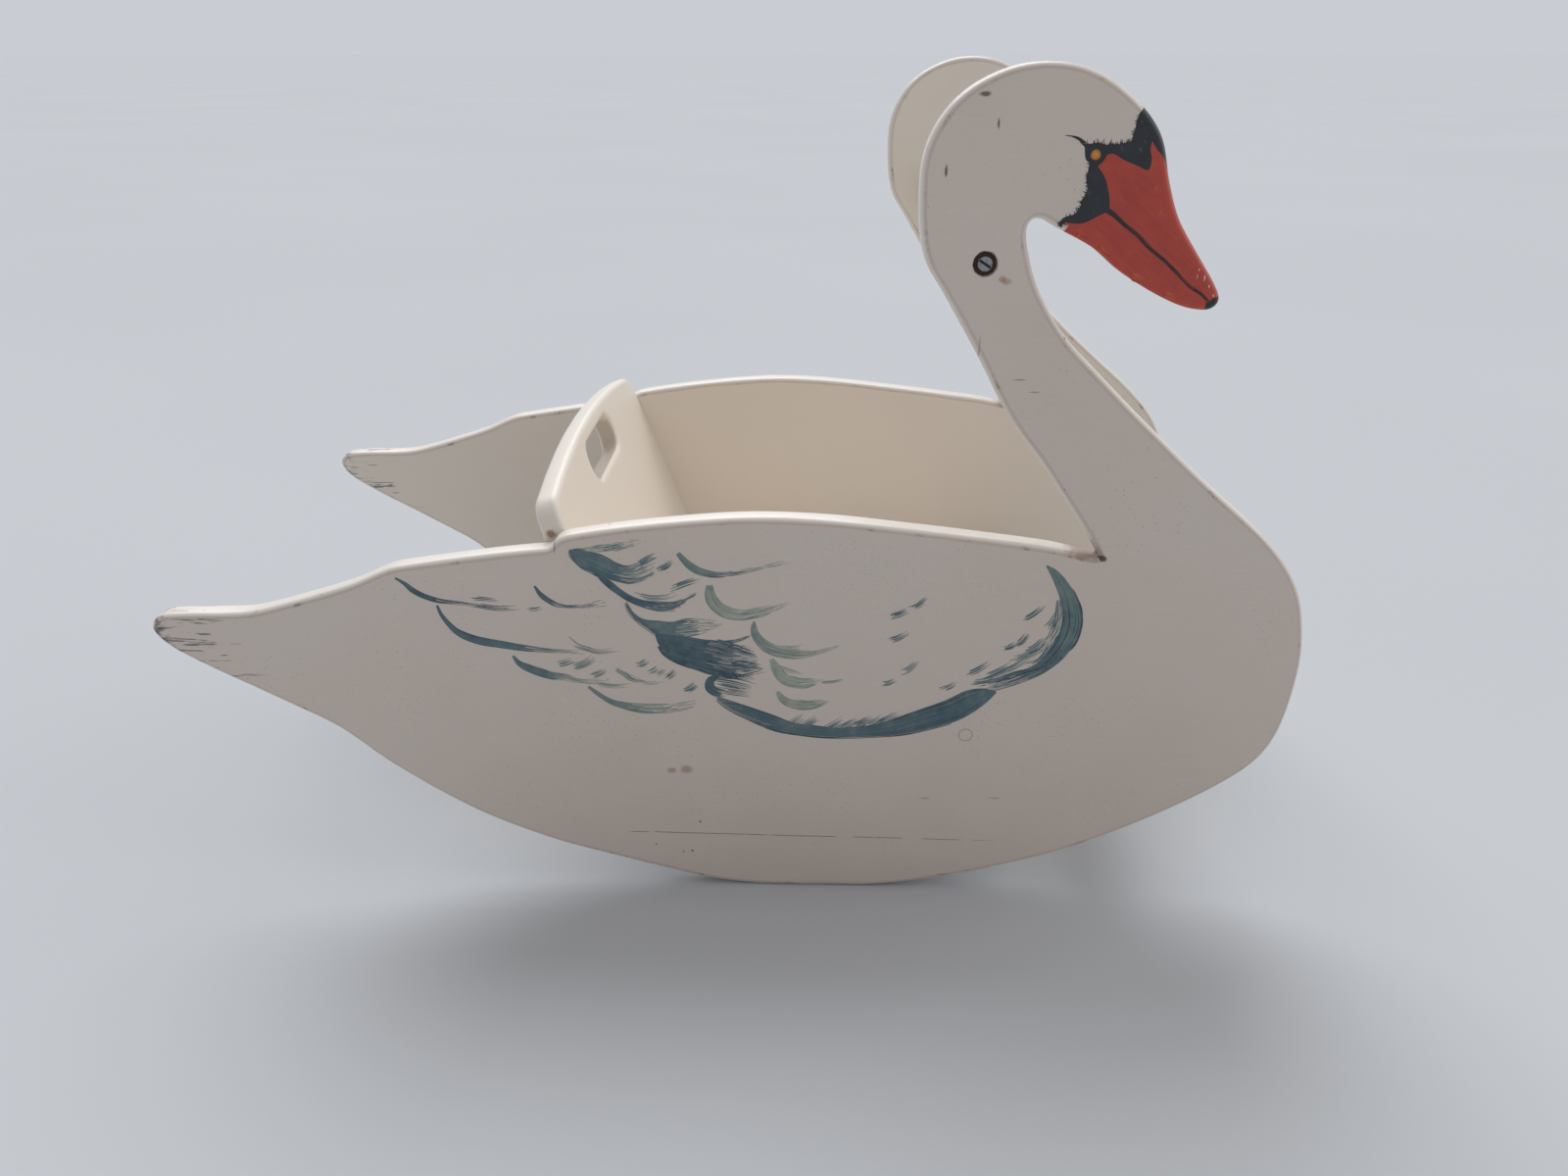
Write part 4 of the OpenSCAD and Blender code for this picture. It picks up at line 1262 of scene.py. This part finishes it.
def build_pieces():
    marks = {"right": right_marks, "left": left_marks}
    across = (1, 26, 1)
    seat_paint = inner_finish("seat_enamel", 3.0, across, 0.02)
    back_paint = inner_finish("back_enamel", 5.0, across, 0.0, BACK_BARE)
    foot_paint = inner_finish("foot_enamel", 7.0, across, 0.10)
    bar_paint = inner_finish("bar_enamel", 9.0, across, 0.08)
    feathers = brush_finish("feather_paint", (srgb(50, 70, 84), srgb(84, 111, 121), srgb(122, 140, 136),
                                              srgb(172, 177, 167)))
    head_paints = {
        "beak_red": brush_finish("beak_paint", (srgb(170, 60, 52), srgb(186, 68, 54), srgb(202, 98, 58))),
        "mask_black": brush_finish("mask_paint", (srgb(27, 29, 34), srgb(38, 46, 55), srgb(92, 106, 120))),
        "eye_dot": brush_finish("eye_paint", (srgb(88, 64, 42), srgb(194, 122, 56), srgb(212, 142, 70))),
        "mouth_line": brush_finish("mouth_paint", (srgb(38, 24, 24), srgb(56, 32, 30))),
        "beak_flecks": brush_finish("fleck_paint", (IVORY_WARM, IVORY, IVORY_PALE)),
    }
    steel = metal_finish("dull_steel", srgb(144, 146, 150), srgb(96, 88, 82), 0.52, 0.38, 0.85)
    dirt = metal_finish("packed_dirt", srgb(32, 29, 28), srgb(60, 51, 45), 0.5, 0.75, 0.0)
    rust = metal_finish("rusty_steel", srgb(58, 46, 40), srgb(92, 62, 44), 0.5, 0.6, 0.35)

    for number, (word, side) in enumerate(SIDES.items()):
        board, rings = side_board(word, side)
        paint = board_finish("enamel_" + word, 1.0 + number, marks[word])
        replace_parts(finish_piece(board, paint), "side_board_" + word)
        for group in ("seat", "back", "foot"):
            piece = finish_piece(plugs(group, word, side), paint)
            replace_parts(piece, f"{group}_plugs_{word}")
            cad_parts[f"{group}_screws_{word}"].data.materials.clear()
            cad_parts[f"{group}_screws_{word}"].data.materials.append(steel)
        paint_wing(side, 11 + number).build("wing_feathers_" + word, feathers)
        for key, mark in paint_head(side, 31 + number, rings).items():
            mark.build(f"{key}_{word}", head_paints[key])
        screw = finish_piece(handle_screw(word, side), steel, "handlebar")
        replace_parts(screw, "handle_screw_" + word)
        finish_piece(slot_dirt(word, side), dirt, "handlebar")
        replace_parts(finish_piece(washer(word, side), rust), "washer_" + word)

    for piece, paint, node in ((cross_board("seat_board"), seat_paint, "seat_board"),
                               (cross_board("foot_board"), foot_paint, "foot_board"),
                               (back_board(), back_paint, "back_board")):
        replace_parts(finish_piece(piece, paint), node)
    bar = finish_piece(handlebar(), bar_paint, "handlebar")
    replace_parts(bar, "handlebar")


# ---------------------------------------------------------------- camera, light and floor

CAMERA_PLACE = (0.0668, -0.9135, 0.603)
CAMERA_ANGLES = (25.27, -1.71, -0.135)      # degrees down, to the right and of roll
SENSOR_WIDTH, LENS = 36, 26.35              # mm
LAMPS = {                                   # direction it comes from, power, width in degrees, colour
    "key": ((-0.2, 0.85, 1.0), 2.15, 50, (0.97, 0.985, 1.0)),
    "side": ((1.0, 0.2, 0.6), 0.85, 60, (1.0, 0.97, 0.93)),
}
FLOOR_COLOURS = srgb(196, 200, 206), srgb(198, 202, 208)
HORIZON = srgb(201, 205, 211)               # the world as the camera sees it, matched to the lit floor
WORLD_LIGHT, WORLD_POWER = (1.0, 0.98, 0.965, 1), 0.4


def add_camera():
    """Camera at the photograph's place: 25 degrees down, nearly square on to the right board."""
    pitch, yaw, roll = (math.radians(angle) for angle in CAMERA_ANGLES)
    camera = bpy.data.cameras.new("camera")
    camera.sensor_width, camera.lens = SENSOR_WIDTH, LENS
    obj = bpy.data.objects.new("camera", camera)
    bpy.context.scene.collection.objects.link(obj)
    ahead = Vector((math.sin(yaw) * math.cos(pitch), math.cos(yaw) * math.cos(pitch), -math.sin(pitch)))
    right = Vector((math.cos(yaw), -math.sin(yaw), 0))
    turn = Matrix((right, right.cross(ahead), -ahead)).transposed().to_4x4()
    obj.matrix_world = Matrix.Translation(CAMERA_PLACE) @ turn @ Matrix.Rotation(roll, 4, "Z")
    bpy.context.scene.camera = obj


def add_sun(name, toward, power, spread, colour):
    """A lamp far away, whose light comes from the given direction. spread is its width in degrees."""
    lamp = bpy.data.lights.new(name, "SUN")
    lamp.energy, lamp.angle, lamp.color = power, math.radians(spread), colour
    obj = bpy.data.objects.new(name, lamp)
    bpy.context.scene.collection.objects.link(obj)
    obj.rotation_mode = "QUATERNION"
    obj.rotation_quaternion = Vector(toward).to_track_quat("Z", "Y")


def add_studio():
    """Pale floor, a pale world, and soft light from above and behind the object."""
    bpy.ops.mesh.primitive_plane_add(size=200)
    floor = bpy.context.object
    floor.name = "floor"
    f = Finish("floor_pale", 0.6)
    f.shader.inputs["Specular IOR Level"].default_value = 0.0
    f.colour(f.mix(f.between(f.noise(0.6, 2), 0.3, 0.7), *FLOOR_COLOURS))
    floor.data.materials.append(f.material)
    world = bpy.data.worlds.new("studio")
    bpy.context.scene.world = world
    world.use_nodes = True
    tree = world.node_tree
    light = tree.nodes["Background"]
    light.inputs["Color"].default_value = WORLD_LIGHT
    light.inputs["Strength"].default_value = WORLD_POWER
    seen = tree.nodes.new("ShaderNodeBackground")
    seen.inputs["Color"].default_value = HORIZON
    seen.inputs["Strength"].default_value = 1.0
    path = tree.nodes.new("ShaderNodeLightPath")
    share = path.outputs["Is Camera Ray"]
    for ray in ("Is Glossy Ray", "Is Transmission Ray"):
        add = tree.nodes.new("ShaderNodeMath")
        add.operation, add.use_clamp = "ADD", True
        tree.links.new(share, add.inputs[0])
        tree.links.new(path.outputs[ray], add.inputs[1])
        share = add.outputs[0]
    mix = tree.nodes.new("ShaderNodeMixShader")
    tree.links.new(share, mix.inputs[0])
    tree.links.new(light.outputs[0], mix.inputs[1])
    tree.links.new(seen.outputs[0], mix.inputs[2])
    tree.links.new(mix.outputs[0], tree.nodes["World Output"].inputs["Surface"])
    for name, lamp in LAMPS.items():
        add_sun(name, *lamp)
    bpy.context.scene.view_settings.view_transform = "Standard"


add_camera()
build_pieces()
add_studio()
